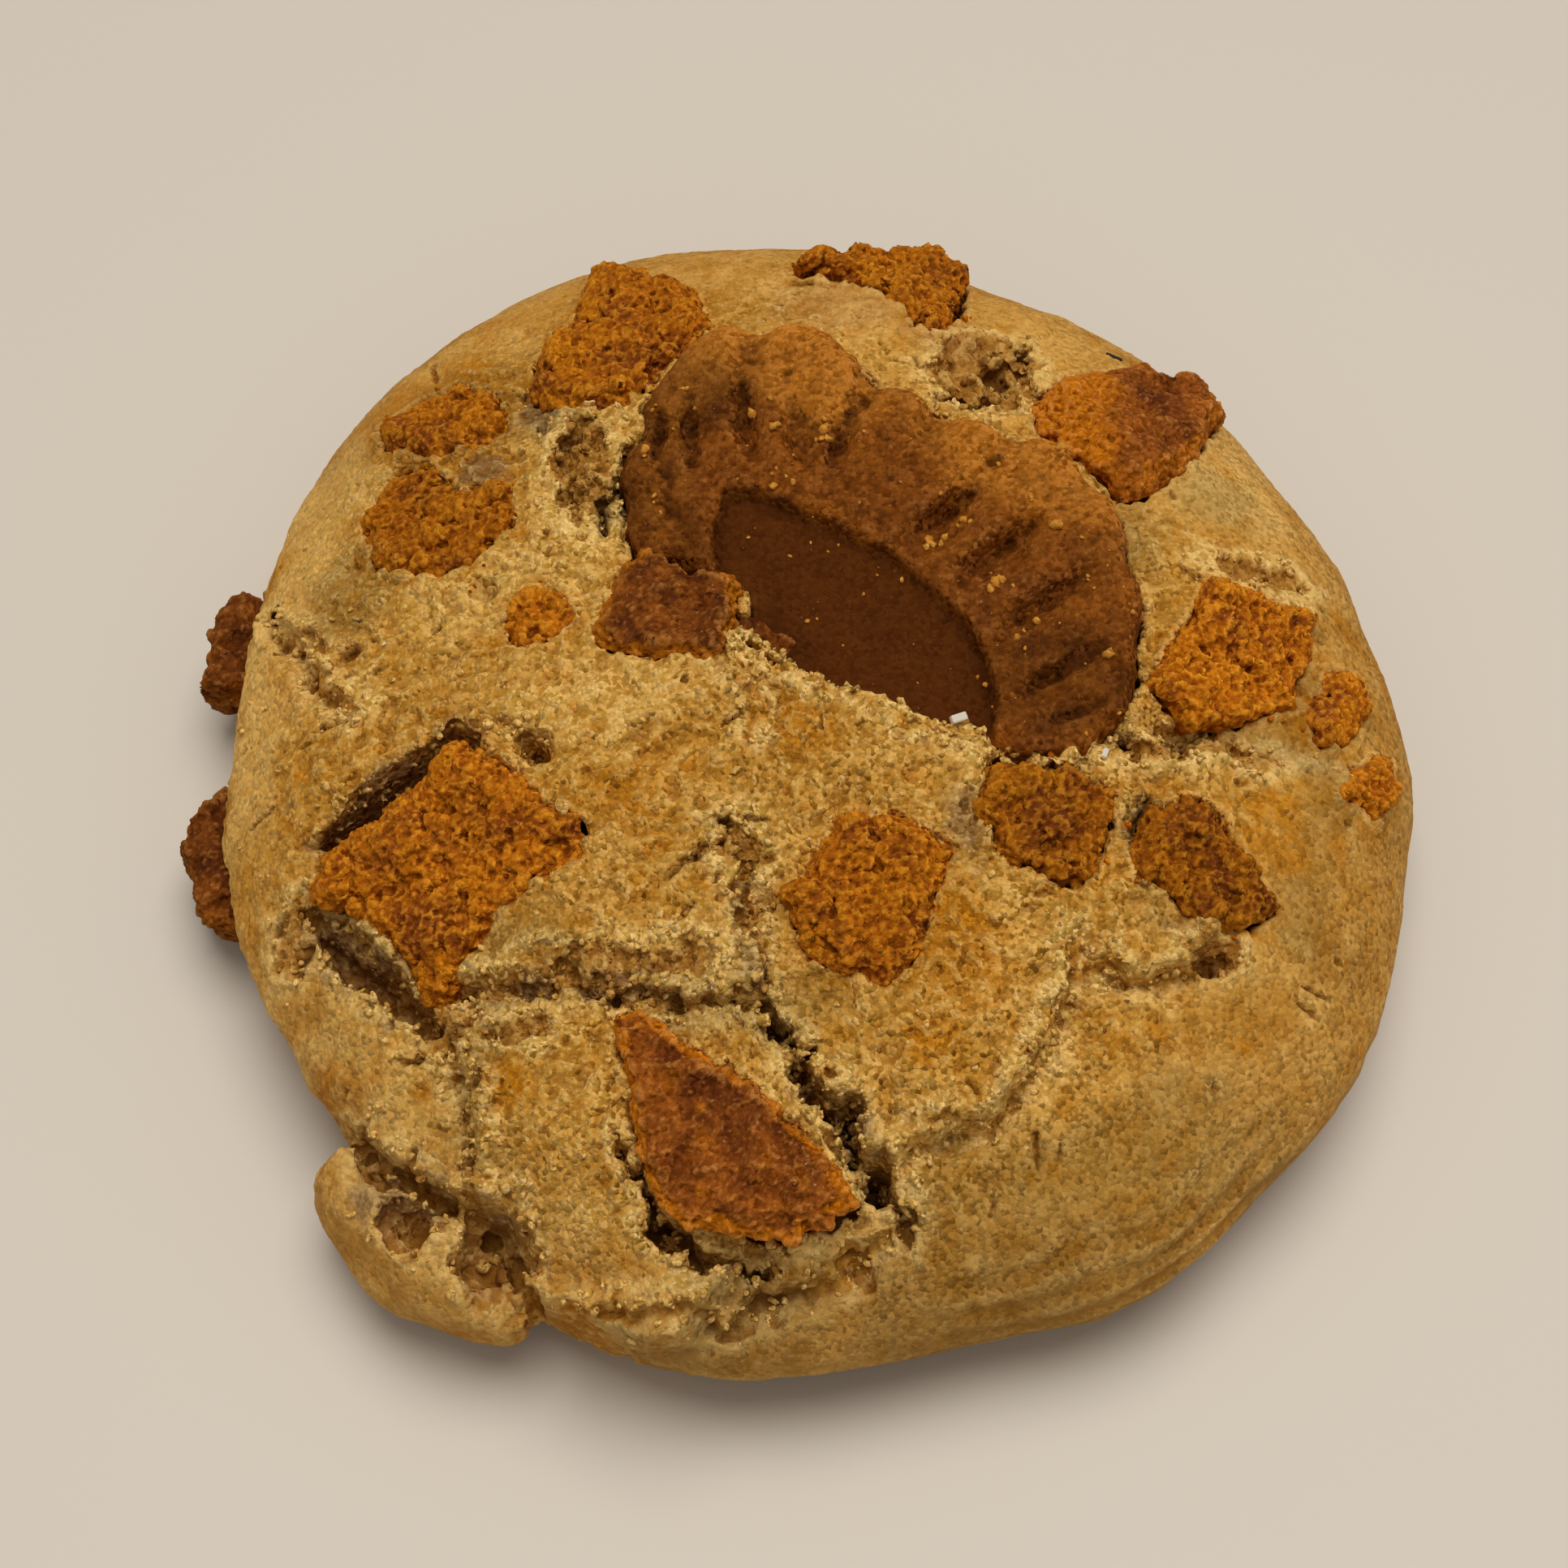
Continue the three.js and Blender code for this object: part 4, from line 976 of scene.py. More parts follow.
def torn_depth(points, plan):
    """How deep each point lies in the cracks that are drawn anew, in millimetres."""
    depth = np.zeros(len(plan))
    uneven = 0.85 + 0.5 * noise(points[:, :2], 2.2, 36) + 0.3 * noise(points[:, :2], 0.9, 37)
    for name in TORN_CRACKS:
        crack = read_crack(plan, CRACKS[name])
        step = PLATE_STEPS.get(name, 0)
        towards_low = np.clip(0.5 - 0.5 * crack.share * crack.side * np.sign(step), 0, 1)
        slope = 1 - 0.75 * towards_low if step else 1
        depth = np.maximum(depth, crack.depth * slope * uneven * smooth_step(0.15, -0.35, crack.reach))
    nearly_plain = points[:, :2] + 0.25 * (plan - points[:, :2])
    for *patch, deepest in [*PITS, *FALLEN_RIDGES]:
        depth = np.maximum(depth, deepest * smooth_step(0.35, -0.3, patch_reach(nearly_plain, [patch])))
    return depth


class COOKIE_OT_dough(bpy.types.Operator):
    """Bakes the cracked dough"""

    bl_idname = "cookie.dough"
    bl_label = "Bake Dough"

    def execute(self, context):
        s = context.scene.cookie_dough
        size = mesh_size(s.fineness)
        piece = copy_of_node("dough", "cookie_dough")
        remesh(piece, size)
        soften(piece, 5)
        self.shape(piece, s, size)
        self.paint(piece, s)
        finish_piece(piece, "dough", dough_material(s), "dough")
        return {"FINISHED"}

    def shape(self, piece, s, size):
        self.fill_cracks(piece)
        self.lift_plates(piece, s)
        remesh(piece, size)
        soften(piece, 1)
        points = places(piece)
        above = smooth_step(0.3, 2.0, points[:, 2])
        plan = ragged(points)
        reach = torn_reach(plan)
        seams = np.minimum(reach, crack_reach(plan, CRACKS))
        beside = distance_to(points, [*POROUS_PIECES, *SKIN_PIECES, "biscuit_half"])
        top = smooth_step(8, 14, points[:, 2])
        give_group(piece, "above", above)
        give_group(piece, "uneven", above * roughness_of(points))
        give_group(piece, "torn_zone", smooth_step(0.2, -0.3, reach) * above)
        give_group(piece, "near_crack", smooth_step(1.8, 0.2, seams) * above)
        lip = np.exp(-((reach - 0.5) / 0.4) ** 2) * above * smooth_step(9, 14, points[:, 2])
        give_group(piece, "lip", lip)
        standing = smooth_step(0, 1, patch_reach(points[:, :2], [ridge for *ridge, _ in FALLEN_RIDGES]))
        give_group(piece, "beside_pieces", smooth_step(1.4, 0.5, beside) * above * standing)
        give_group(piece, "coarse", smooth_step(0.6, -0.6, patch_reach(plan, COARSE_PATCHES)) * above)
        push(piece, s.lip, "lip")
        push(piece, s.crag, "torn_zone", texture_of("CLOUDS", 1.3, noise_depth=2), 0.5)
        push(piece, 0.4 * MM, "torn_zone", texture_of("VORONOI", 1.2), 0.3)
        push(piece, -1.6 * MM, "coarse", texture_of("VORONOI", 2.1), 0.4)
        push(piece, 1.6 * MM, "beside_pieces", texture_of("CLOUDS", 1.3, noise_depth=1), 0.25)
        coloured = texture_of("CLOUDS", 1.2, cloud_type="COLOR")
        push(piece, 0.8 * MM, "near_crack", coloured, 0.5, "RGB_TO_XYZ")
        push(piece, 0.7 * MM, "uneven", texture_of("CLOUDS", 3.6, noise_depth=2), 0.5)
        push(piece, 0.18 * MM, "uneven", texture_of("CLOUDS", 1.6, noise_depth=2), 0.5)
        push(piece, -0.18 * MM, "uneven", texture_of("VORONOI", 0.7), 0.3)
        push(piece, -0.25 * MM, "near_crack", texture_of("VORONOI", 0.8), 0.3)
        push(piece, s.grain, "above", texture_of("CLOUDS", 0.5, noise_depth=1), 0.5)
        piece.vertex_groups.clear()
        move(piece, -0.6 * slits(places(piece), s.slits) * top)
        apply_modifier(piece, "DECIMATE", ratio=min(1, s.most_faces / count_triangles(piece)))

    def fill_cracks(self, piece):
        """Fills the narrow cracks whose plates touch, and those drawn anew, to the level beside them."""
        names = [*TORN_CRACKS, *CLOSED_CRACKS]
        points = places(piece)
        reach = crack_reach(points[:, :2], names)
        near = np.nonzero((reach < LEVEL_REACH) & (points[:, 2] > FILL_ABOVE))[0]
        away = distance_to(points[near], [*POROUS_PIECES, *SKIN_PIECES, "biscuit_half"])
        free = (away > 0.3) & (distance_to(points[near], ["biscuit_half"]) > 0.8)
        near, away = near[free], away[free]
        open_beside = crack_reach(points[near, :2], [name for name in CRACKS if name not in names]) > 0.6
        plain = (reach[near] > FILL_REACH) & (away > LEVEL_CLEARANCE) & (facings(piece)[near, 2] > UPWARD)
        level = near[plain & open_beside]
        level = level[~is_covered(points[level], [*POROUS_PIECES, *SKIN_PIECES])]
        inside = near[reach[near] < FILL_REACH]
        arch = read_crack(points[:, :2], CRACKS["arch_seam"])
        below_arch = (arch.reach < SLOPE_REACH) & (arch.side < 0) & (arch.along > 0)
        sloping = below_arch & (points[:, 2] > FILL_ABOVE)
        tree = KDTree(len(level))
        for index in level:
            tree.insert((points[index, 0], points[index, 1], 0), index)
        tree.balance()
        lift = np.zeros(len(points))
        for index in np.union1d(inside, np.nonzero(sloping)[0]):
            found = tree.find_n((points[index, 0], points[index, 1], 0), 12)
            weights = np.array([1 / (gap + 0.3) ** 2 for _, _, gap in found])
            heights = points[[other for _, other, _ in found], 2]
            lift[index] = weights @ heights / weights.sum() - points[index, 2]
        lift[sloping] -= ARCH_SLOPE * smooth_step(-24, -28, points[sloping, 0])
        move(piece, lift, "Z")

    def lift_plates(self, piece, s):
        """Moves the crust up and down beside its cracks and sinks the torn places, along ragged edges."""
        points = places(piece)
        plan = ragged(points)
        above = smooth_step(0.3, 2.0, points[:, 2])
        high = smooth_step(6, 12, points[:, 2])
        give_group(piece, "above", above)
        push(piece, s.swell, "above", texture_of("CLOUDS", 7.0, noise_depth=1), 0.5)
        piece.vertex_groups.clear()
        stepped = s.ledges / MM * ledges(points) * smooth_step(14, 19, points[:, 2]) * roughness_of(points)
        lift = plate_lift(points, plan) * high + stepped
        move(piece, (lift - torn_depth(points, plan) * high) * above, "Z")
        open_torn = 0.5 * smooth_step(0.2, -0.25, torn_reach(plan))
        wrinkled = patch_reach(points[:, :2], [WRINKLED_PATCH])
        wave = 0.5 + 0.5 * np.sin(points[:, 2] * 2.9 + 2.2 * noise(points, 6, 31))
        wrinkles = 0.35 * wave * smooth_step(0, -3, wrinkled) * smooth_step(17, 13, points[:, 2])
        move(piece, -np.maximum(open_torn, wrinkles) * above)
        lip = read_crack(plan, CRACKS["biscuit_lip"])
        tongue = 0.8 + 0.8 * noise(points, 1.7, 33)
        tongue *= smooth_step(-3, 3, points[:, 0])
        ends = smooth_step(0, 2, lip.along)
        move(piece, tongue * smooth_step(2.4, 0.4, lip.reach) * (lip.side < 0) * ends, "Y")

    def paint(self, piece, s):
        points = places(piece)
        plan = points[:, :2]
        reach = torn_reach(ragged(points))
        uneven = 1.1 * noise(points, 2.2, 8) + 0.5 * noise(points, 0.8, 9)
        high = smooth_step(7, 12, points[:, 2])
        give_attribute(piece, "torn", 0.8 * smooth_step(0.3, -0.3, reach) * high)
        beside = distance_to(points, POROUS_PIECES)
        rosy = smooth_step(0.8, -0.8, patch_reach(plan, ROSY_PATCHES) + uneven)
        give_attribute(piece, "rosy", 0.5 * rosy * high)
        give_attribute(piece, "stain", 0.6 * smooth_step(1.9, 0.3, beside - 0.7 * noise(points, 1.6, 14)))
        edges = np.minimum(reach, crack_reach(ragged(points), CLOSED_CRACKS))
        pale = smooth_step(0, 0.4, edges) * smooth_step(1.8, 0.5, edges)
        give_attribute(piece, "pale", 0.8 * pale * high)
        film = smooth_step(0.6, -0.6, patch_reach(plan, FILM_PATCHES) + uneven)
        give_attribute(piece, "film", 0.7 * film * high)
        toast = smooth_step(0.8, -1, patch_reach(plan, TOAST_PATCHES) + uneven)
        give_attribute(piece, "toast", 0.7 * toast)
        # Painted shade inside the slits, the pits and the deep split
        nearly_plain = plan + 0.25 * (ragged(points) - plan)
        holes = smooth_step(0.3, -0.3, patch_reach(nearly_plain, [patch for *patch, _ in PITS]))
        split = smooth_step(0.1, -0.3, read_crack(ragged(points), CRACKS["deep_split"]).reach)
        painted_slit_shade = np.maximum.reduce([0.7 * slits(points, s.slits), holes, split])
        give_attribute(piece, "painted_slit_shade", painted_slit_shade * high)
        soft = 2.5 * noise(points, 4, 15) + 0.8 * noise(points, 1.4, 16)
        # The cream patches are partly painted light and the shade patches are painted shade
        for name, patches, strength in (("cream", CREAM_AND_LIT_PATCHES, 0.6), ("shade", PAINTED_SHADE_PATCHES, 0.8)):
            inside = smooth_step(1.5, -1.5, patch_reach(plan, patches) + soft)
            give_attribute(piece, name, strength * inside)
        # The foot is browned by the bake; the darker walls, less dark on the far left, are partly a browner
        # crust and partly painted shade
        foot = points[:, 2] + 1.6 * noise(points, 5, 12)
        wall = 0.35 * smooth_step(21, 9, points[:, 2] + 3 * noise(points, 9, 13))
        wall *= 1 - 0.8 * smooth_step(-38, -44, points[:, 0])
        give_attribute(piece, "browned_and_wall_shade", wall + 0.5 * smooth_step(5.5, 0.5, foot))
        calm = np.maximum(0.7 * smooth_step(20, 10, points[:, 2]), 0.75 * (1 - roughness_of(points)))
        give_attribute(piece, "calm", calm)
        give_relief(piece)


class COOKIE_OT_biscuit(bpy.types.Operator):
    """Bakes the half of a pressed biscuit"""

    bl_idname = "cookie.biscuit"
    bl_label = "Bake Pressed Biscuit"

    def execute(self, context):
        s = context.scene.cookie_biscuit
        piece = copy_of_node("biscuit_half", "pressed_biscuit_half")
        remesh(piece, mesh_size(s.fineness))
        soften(piece, 6)
        points = places(piece)
        middle = patch_reach(points[:, :2], [RIM_TOP])
        panel = outline_reach(points[:, :2], PANEL_EDGE)
        give_group(piece, "rim_top", smooth_step(0, -1, middle) * smooth_step(0.5, 1.5, panel))
        give_group(piece, "panel_edge", smooth_step(1.8, 0.6, np.abs(panel)) * (points[:, 2] > RIM_LEVEL))
        soften(piece, 40, "rim_top")
        soften(piece, 30, "panel_edge")
        self.fold_rim(piece)
        soften(piece, 8)
        panel = outline_reach(places(piece)[:, :2], PANEL_EDGE)
        give_group(piece, "grainy", smooth_step(-0.6, 0.4, panel) * 0.8 + 0.2)
        push(piece, 0.5 * MM, texture=texture_of("CLOUDS", 5.0), middle=0.5)
        push(piece, 0.45 * MM, "grainy", texture_of("CLOUDS", 1.6, noise_depth=2), 0.5)
        push(piece, 0.2 * MM, "grainy", texture_of("CLOUDS", 0.6, noise_depth=1), 0.5)
        self.paint(piece)
        finish_piece(piece, "pressed_biscuit", biscuit_material(s), "biscuit_half")
        return {"FINISHED"}

    def paint(self, piece):
        points = places(piece)
        panel = outline_reach(points[:, :2], PANEL_EDGE)
        give_attribute(piece, "panel", 0.9 * smooth_step(0.4, -0.6, panel + 0.4 * noise(points, 1.2, 21)))
        wander = 0.8 * noise(points, 2.6, 22)
        # The rim's outer edge towards the rear and the paler patches: partly a golden tone and partly
        # painted highlight where the light falls
        outside = patch_reach(points[:, :2], [BISCUIT_OUTLINE]) + wander
        edge = smooth_step(-4, -0.5, outside) * smooth_step(6, 20, points[:, 1])
        edge *= smooth_step(-16, -4, points[:, 0])
        light = 0.8 * smooth_step(1.5, -2, patch_reach(points[:, :2], RIM_GOLD_AND_HIGHLIGHT_PATCHES) + wander)
        give_attribute(piece, "outer", np.maximum(edge, light))
        give_attribute(piece, "calm", 0.3 * smooth_step(0.5, -0.5, panel))
        # Painted shade, partly over a browner rim
        shade = smooth_step(1.5, -1.5, patch_reach(points[:, :2], RIM_BROWN_AND_SHADE_PATCHES) + wander)
        give_attribute(piece, "shade", 0.85 * shade)
        give_relief(piece)

    def fold_rim(self, piece):
        """Presses the folds of the rim: steep on the left of each fold's path and gentle on its right."""
        points = places(piece)
        plan = points[:, :2] + 0.35 * np.stack([noise(points, 2.5, 23), noise(points, 2.5, 24)], axis=1)
        top = points[:, 2] > RIM_LEVEL
        pressed, raised = np.zeros((2, len(points)))
        for ax, ay, bx, by, width, depth in RIM_FOLDS:
            fold = read_crack(plan, [(ax, ay, 0, 0), (bx, by, 0, 0)])
            reach, left = fold.reach, fold.side > 0
            inside = smooth_step(0, 1.6, fold.along + 0.8 - np.maximum(reach - width, 0)) * top
            slope = np.where(left, reach / 1.2, reach / width)
            pressed = np.maximum(pressed, depth * inside * smooth_step(1, 0, slope))
            crest = np.exp(-((reach - 1.6) / 1.1) ** 2) * left * smooth_step(0, 2, fold.along + 0.5)
            raised = np.maximum(raised, 0.35 * depth * crest * top)
        panel = smooth_step(0.1, -0.5, outline_reach(points[:, :2], PANEL_EDGE)) * top
        move(piece, raised - pressed - 0.5 * panel, "Z")
        points = places(piece)
        cut = np.zeros(len(points))
        for ax, ay, bx, by, depth in RIM_NOTCHES:
            reach = read_crack(points[:, :2], [(ax, ay, 1, 0), (bx, by, 0, 0)]).reach
            cut = np.maximum(cut, depth * np.exp(-np.maximum(reach, 0) ** 2))
        move(piece, -cut * (points[:, 2] > SIDE_LEVEL))


def way_up(node):
    """The mean upward direction of a CAD node's top."""
    mesh = frame["nodes"][node].data
    total = Vector()
    for face in mesh.polygons:
        if face.normal.z > UPWARD:
            total += face.normal * face.area
    return total.normalized()


def start_piece(node, s, turns):
    """A fine, softened copy of a broken piece."""
    piece = copy_of_node(node, node.replace("chunk", "piece"))
    remesh(piece, mesh_size(s.piece_fineness))
    soften(piece, turns)
    return piece


def bake_piece(piece, node, slot, material):
    """Gives a shaped piece its brightness and relief, and finishes it."""
    give_everywhere(piece, "bake", BAKES.get(node, 1))
    give_relief(piece)
    finish_piece(piece, slot, material, node)


class COOKIE_OT_porous_pieces(bpy.types.Operator):
    """Bakes the broken pieces that show porous crumb"""

    bl_idname = "cookie.porous_pieces"
    bl_label = "Bake Porous Pieces"

    def execute(self, context):
        s = context.scene.cookie_biscuit
        material = crumb_material(s)
        for node in POROUS_PIECES:
            piece = start_piece(node, s, 4)
            self.shape(piece, node, s)
            bake_piece(piece, node, "biscuit_crumb", material)
        return {"FINISHED"}

    def shape(self, piece, node, s):
        """Torn crumb: rounded pores of three sizes with crisp ridges between them."""
        points = places(piece)
        pores = smooth_step(0.35, 0.75, noise(points, 1.1, 41) + 0.4 * noise(points, 3.4, 42))
        give_group(piece, "pores", pores)
        push(piece, (0.25 - THINNER.get(node, 0)) * MM)
        push(piece, 1.3 * MM, texture=texture_of("CLOUDS", 3.4, noise_depth=1), middle=0.5)
        push(piece, 0.9 * MM, "", texture_of("CLOUDS", 1.9, cloud_type="COLOR"), 0.5, "RGB_TO_XYZ")
        push(piece, -s.pore, "pores")
        push(piece, 0.55 * MM, texture=texture_of("VORONOI", 1.2), middle=0.35)
        push(piece, 0.45 * MM, texture=texture_of("VORONOI", 0.65), middle=0.35)
        push(piece, 0.3 * MM, texture=texture_of("CLOUDS", 0.4, noise_depth=1), middle=0.5)


class COOKIE_OT_skin_pieces(bpy.types.Operator):
    """Bakes the broken pieces that show smooth skin"""

    bl_idname = "cookie.skin_pieces"
    bl_label = "Bake Skin Pieces"

    def execute(self, context):
        s = context.scene.cookie_biscuit
        material = skin_material(s)
        for node in SKIN_PIECES:
            piece = start_piece(node, s, 6)
            self.shape(piece, node)
            bake_piece(piece, node, "biscuit_skin", material)
        return {"FINISHED"}

    def shape(self, piece, node):
        points = places(piece)
        lean = facings(piece) @ np.array(way_up(node))
        side = smooth_step(0.9, 0.55, lean + 0.3 * noise(points, 1.2, 51))
        if node in SMOOTH_PIECES:
            side = 0.3 * side
        if node in TORN_LEFT:
            side = np.maximum(0.6 * side, smooth_step(25.5, 22, points[:, 0] + 2 * noise(points, 2, 53)))
        give_group(piece, "sides", side)
        give_attribute(piece, "side", side)
        push(piece, (0.2 - THINNER.get(node, 0)) * MM)
        stretched = points @ np.array([[0.35, -0.3, 0], [0.9, 1.2, 0], [0, 0, 1]])
        move(piece, 0.9 * (0.5 - np.abs(noise(stretched, 2.6, 52))) * (1 - side))
        push(piece, 1.3 * MM, texture=texture_of("CLOUDS", 3.0, noise_depth=2), middle=0.5)
        push(piece, 0.9 * MM, "sides", texture_of("CLOUDS", 1.2, cloud_type="COLOR"), 0.5, "RGB_TO_XYZ")
        push(piece, 0.5 * MM, "sides", texture_of("VORONOI", 0.8), 0.35)
        push(piece, 0.8 * MM, texture=texture_of("CLOUDS", 1.4, noise_depth=2), middle=0.5)
        push(piece, 0.26 * MM, texture=texture_of("CLOUDS", 0.4, noise_depth=1), middle=0.5)


def crumb_shapes(count, rng):
    """A few lumpy crumbs of radius 1, each as points and faces."""
    shapes = []
    for _ in range(count):
        bpy.ops.mesh.primitive_ico_sphere_add(subdivisions=2, radius=1, location=(0, 0, 0))
        lump = bpy.context.object
        points = np.array([v.co for v in lump.data.vertices])
        points *= (1 + 0.5 * noise(points * 3 + rng.uniform(-50, 50, 3), 2.2, 61))[:, None]
        points *= rng.uniform(0.6, 1.2, 3)
        shapes.append((points, np.array([f.vertices for f in lump.data.polygons])))
        bpy.data.objects.remove(lump)
    return shapes


def scatter_crumbs(name, spots, directions, sizes, rng):
    """One mesh of crumbs, each at its spot in millimetres, sunk a little along its direction."""
    shapes = crumb_shapes(6, rng)
    points, faces, start = [], [], 0
    for spot, direction, size in zip(spots, directions, sizes):
        form, sides = shapes[rng.integers(len(shapes))]
        turn, _ = np.linalg.qr(rng.normal(size=(3, 3)))
        if np.linalg.det(turn) < 0:
            turn[:, 0] *= -1
        points.append(form @ turn.T * size + spot + direction * size * 0.25)
        faces.append(sides + start)
        start += len(form)
    mesh = bpy.data.meshes.new(name)
    mesh.from_pydata((np.concatenate(points) * MM).tolist(), [], np.concatenate(faces).tolist())
    mesh.polygons.foreach_set("use_smooth", [True] * len(mesh.polygons))
    piece = bpy.data.objects.new(name, mesh)
    bpy.context.scene.collection.objects.link(piece)
    return piece


class COOKIE_OT_crumbs(bpy.types.Operator):
    """Scatters torn dough crumbs along the cracks, and biscuit crumbs"""

    bl_idname = "cookie.crumbs"
    bl_label = "Scatter Crumbs"

    def execute(self, context):
        s = context.scene.cookie_scatter
        rng = np.random.default_rng(s.seed)
        self.torn_crumbs(s, rng)
        self.biscuit_crumbs(s, rng)
        return {"FINISHED"}

    def torn_crumbs(self, s, rng):
        dough = bpy.data.objects["cookie_dough"]
        points, normals = places(dough), facings(dough)
        plan = ragged(points)
        reach = np.minimum(torn_reach(plan), crack_reach(plan, CRACKS))
        chance = np.exp(-((reach - 0.2) / 0.8) ** 2) + 0.06 * smooth_step(0.5, 1, roughness_of(points))
        chance = chance * (points[:, 2] > 11) * (normals[:, 2] > 0.05) + 1e-9
        chosen = rng.choice(len(points), s.torn_count, replace=False, p=chance / chance.sum())
        sizes = s.torn_size / MM * rng.uniform(0.4, 1, s.torn_count) ** 2
        placed = [near_top(points, x, y) for x, y, _ in DOUGH_CRUMBS]
        chosen = np.concatenate([chosen, placed])
        sizes = np.concatenate([sizes, [0.8 * size for *_, size in DOUGH_CRUMBS]])
        piece = scatter_crumbs("torn_crumbs", points[chosen], normals[chosen], sizes, rng)
        for name in ("pale", "torn"):
            source = np.empty(len(points), np.float32)
            dough.data.attributes[name].data.foreach_get("value", source)
            least = 0.6 if name == "pale" else 0
            values = np.maximum(source[chosen], least)
            give_attribute(piece, name, np.repeat(values, len(piece.data.vertices) // len(chosen)))
        finish_piece(piece, "dough", bpy.data.materials["baked_dough"])

    def biscuit_crumbs(self, s, rng):
        """Golden crumbs on the pressed biscuit, and orange ones on the crust beside the broken pieces."""
        biscuit = bpy.data.objects["pressed_biscuit_half"]
        points, normals = places(biscuit), facings(biscuit)
        chance = (normals[:, 2] > 0.5) * (points[:, 2] > 23) + 1e-9
        dust = rng.choice(len(points), s.biscuit_count, replace=False, p=chance / chance.sum())
        spots = np.array([top_of(points, x, y) for x, y, _ in BISCUIT_CRUMBS])
        sizes = np.array([size * 0.62 for _, _, size in BISCUIT_CRUMBS])
        beside = spots + rng.normal(0, 0.45, spots.shape) * (1, 1, 0)
        spots = np.concatenate([points[dust], spots, [top_of(points, x, y) for x, y, _ in beside]])
        sizes = np.concatenate([0.22 * rng.uniform(0.3, 1, s.biscuit_count) ** 2, sizes, sizes * 0.6])
        ups = np.tile((0, 0, 1.0), (len(spots), 1))
        piece = scatter_crumbs("biscuit_crumbs", spots, ups, sizes, rng)
        finish_piece(piece, "biscuit_crumb", golden_material())
        dough = bpy.data.objects["cookie_dough"]
        points, normals = places(dough), facings(dough)
        away = distance_to(points, POROUS_PIECES)
        on_top = (points[:, 2] > 11) * (normals[:, 2] > 0.3)
        chance = np.exp(-((away - 0.6) / 0.7) ** 2) * (away < 1.9) * on_top + 1e-9
        chosen = rng.choice(len(points), s.loose_count, replace=False, p=chance / chance.sum())
        sizes = 0.34 * rng.uniform(0.45, 1, s.loose_count) ** 2
        piece = scatter_crumbs("loose_crumbs", points[chosen], normals[chosen], sizes, rng)
        give_everywhere(piece, "bake", 1.15)
        finish_piece(piece, "biscuit_crumb", bpy.data.materials["porous_crumb"])


def near_top(points, x, y):
    """The number of the highest point within half a millimetre of a place in the plan."""
    near = np.nonzero(np.hypot(points[:, 0] - x, points[:, 1] - y) < 0.5)[0]
    if not len(near):
        raise RuntimeError(f"nothing lies at {x:.1f}, {y:.1f}")
    return near[np.argmax(points[near, 2])]


def top_of(points, x, y):
    return points[near_top(points, x, y)]


def plain_material(name, shade, roughness, shine):
    material = bpy.data.materials.new(name)
    material.use_nodes = True
    shader = material.node_tree.nodes["Principled BSDF"]
    shader.inputs["Base Color"].default_value = (*shade, 1)
    shader.inputs["Roughness"].default_value = roughness
    shader.inputs["Specular IOR Level"].default_value = shine
    return material


def add_grain(name, spot, size, turn):
    """A small rounded block at a spot, all in millimetres, turned about +Z by degrees."""
    bpy.ops.mesh.primitive_cube_add(
        size=1, location=Vector(spot) * MM, rotation=(0.3, 0.2, math.radians(turn)),
        scale=Vector(size) * MM)
    grain = bpy.context.object
    grain.name = name
    apply_modifier(grain, "BEVEL", width=0.12 * MM, segments=2)
    bpy.ops.object.transform_apply(location=True, rotation=True, scale=True)
    return grain


class COOKIE_OT_sugar(bpy.types.Operator):
    """Lays the loose sugar crystals, the dark fleck and the crumb of filling"""

    bl_idname = "cookie.sugar"
    bl_label = "Lay Sugar and Specks"

    def execute(self, context):
        baked = [bpy.data.objects[name] for name in ("cookie_dough", "pressed_biscuit_half")]
        crust = np.concatenate([places(piece) for piece in baked])
        sugar = plain_material("sugar", tone(226, 218, 202), 0.25, 0.5)
        for number, (x, y, length, turn) in enumerate(SUGAR_CRYSTALS):
            spot = top_of(crust, x, y) + (0, 0, 0.15)
            crystal = add_grain(f"sugar_{number}", spot, (length, length * 0.5, length * 0.45), turn)
            finish_piece(crystal, "sugar", sugar)
        x, y, length, turn = DARK_FLECK
        fleck = add_grain("dark_fleck", top_of(crust, x, y) + (0, 0, 0.05), (length, 0.4, 0.3), turn)
        finish_piece(fleck, "dough", plain_material("dark_fleck", tone(44, 40, 34), 0.7, 0.2))
        self.filling(context)
        return {"FINISHED"}

    def filling(self, context):
        """A ragged purple brown strip in the gap below the pressed biscuit."""
        s = context.scene.cookie_biscuit
        (ax, ay), (bx, by) = FILLING_ENDS
        length = math.dist(*FILLING_ENDS)
        height = top_of(places(bpy.data.objects["pressed_biscuit_half"]), bx, by + 1)[2] - 0.2
        turn = math.degrees(math.atan2(by - ay, bx - ax))
        strip = add_grain("filling_crumb", ((ax + bx) / 2, (ay + by) / 2, height), (length, 1.5, 1.4), turn)
        remesh(strip, s.piece_fineness)
        push(strip, 0.9 * MM, texture=texture_of("CLOUDS", 1.1, noise_depth=2), middle=0.5)
        give_relief(strip)
        give_everywhere(strip, "side", 0)
        give_everywhere(strip, "bake", 0.7)
        finish_piece(strip, "biscuit_skin", bpy.data.materials["baked_skin"])


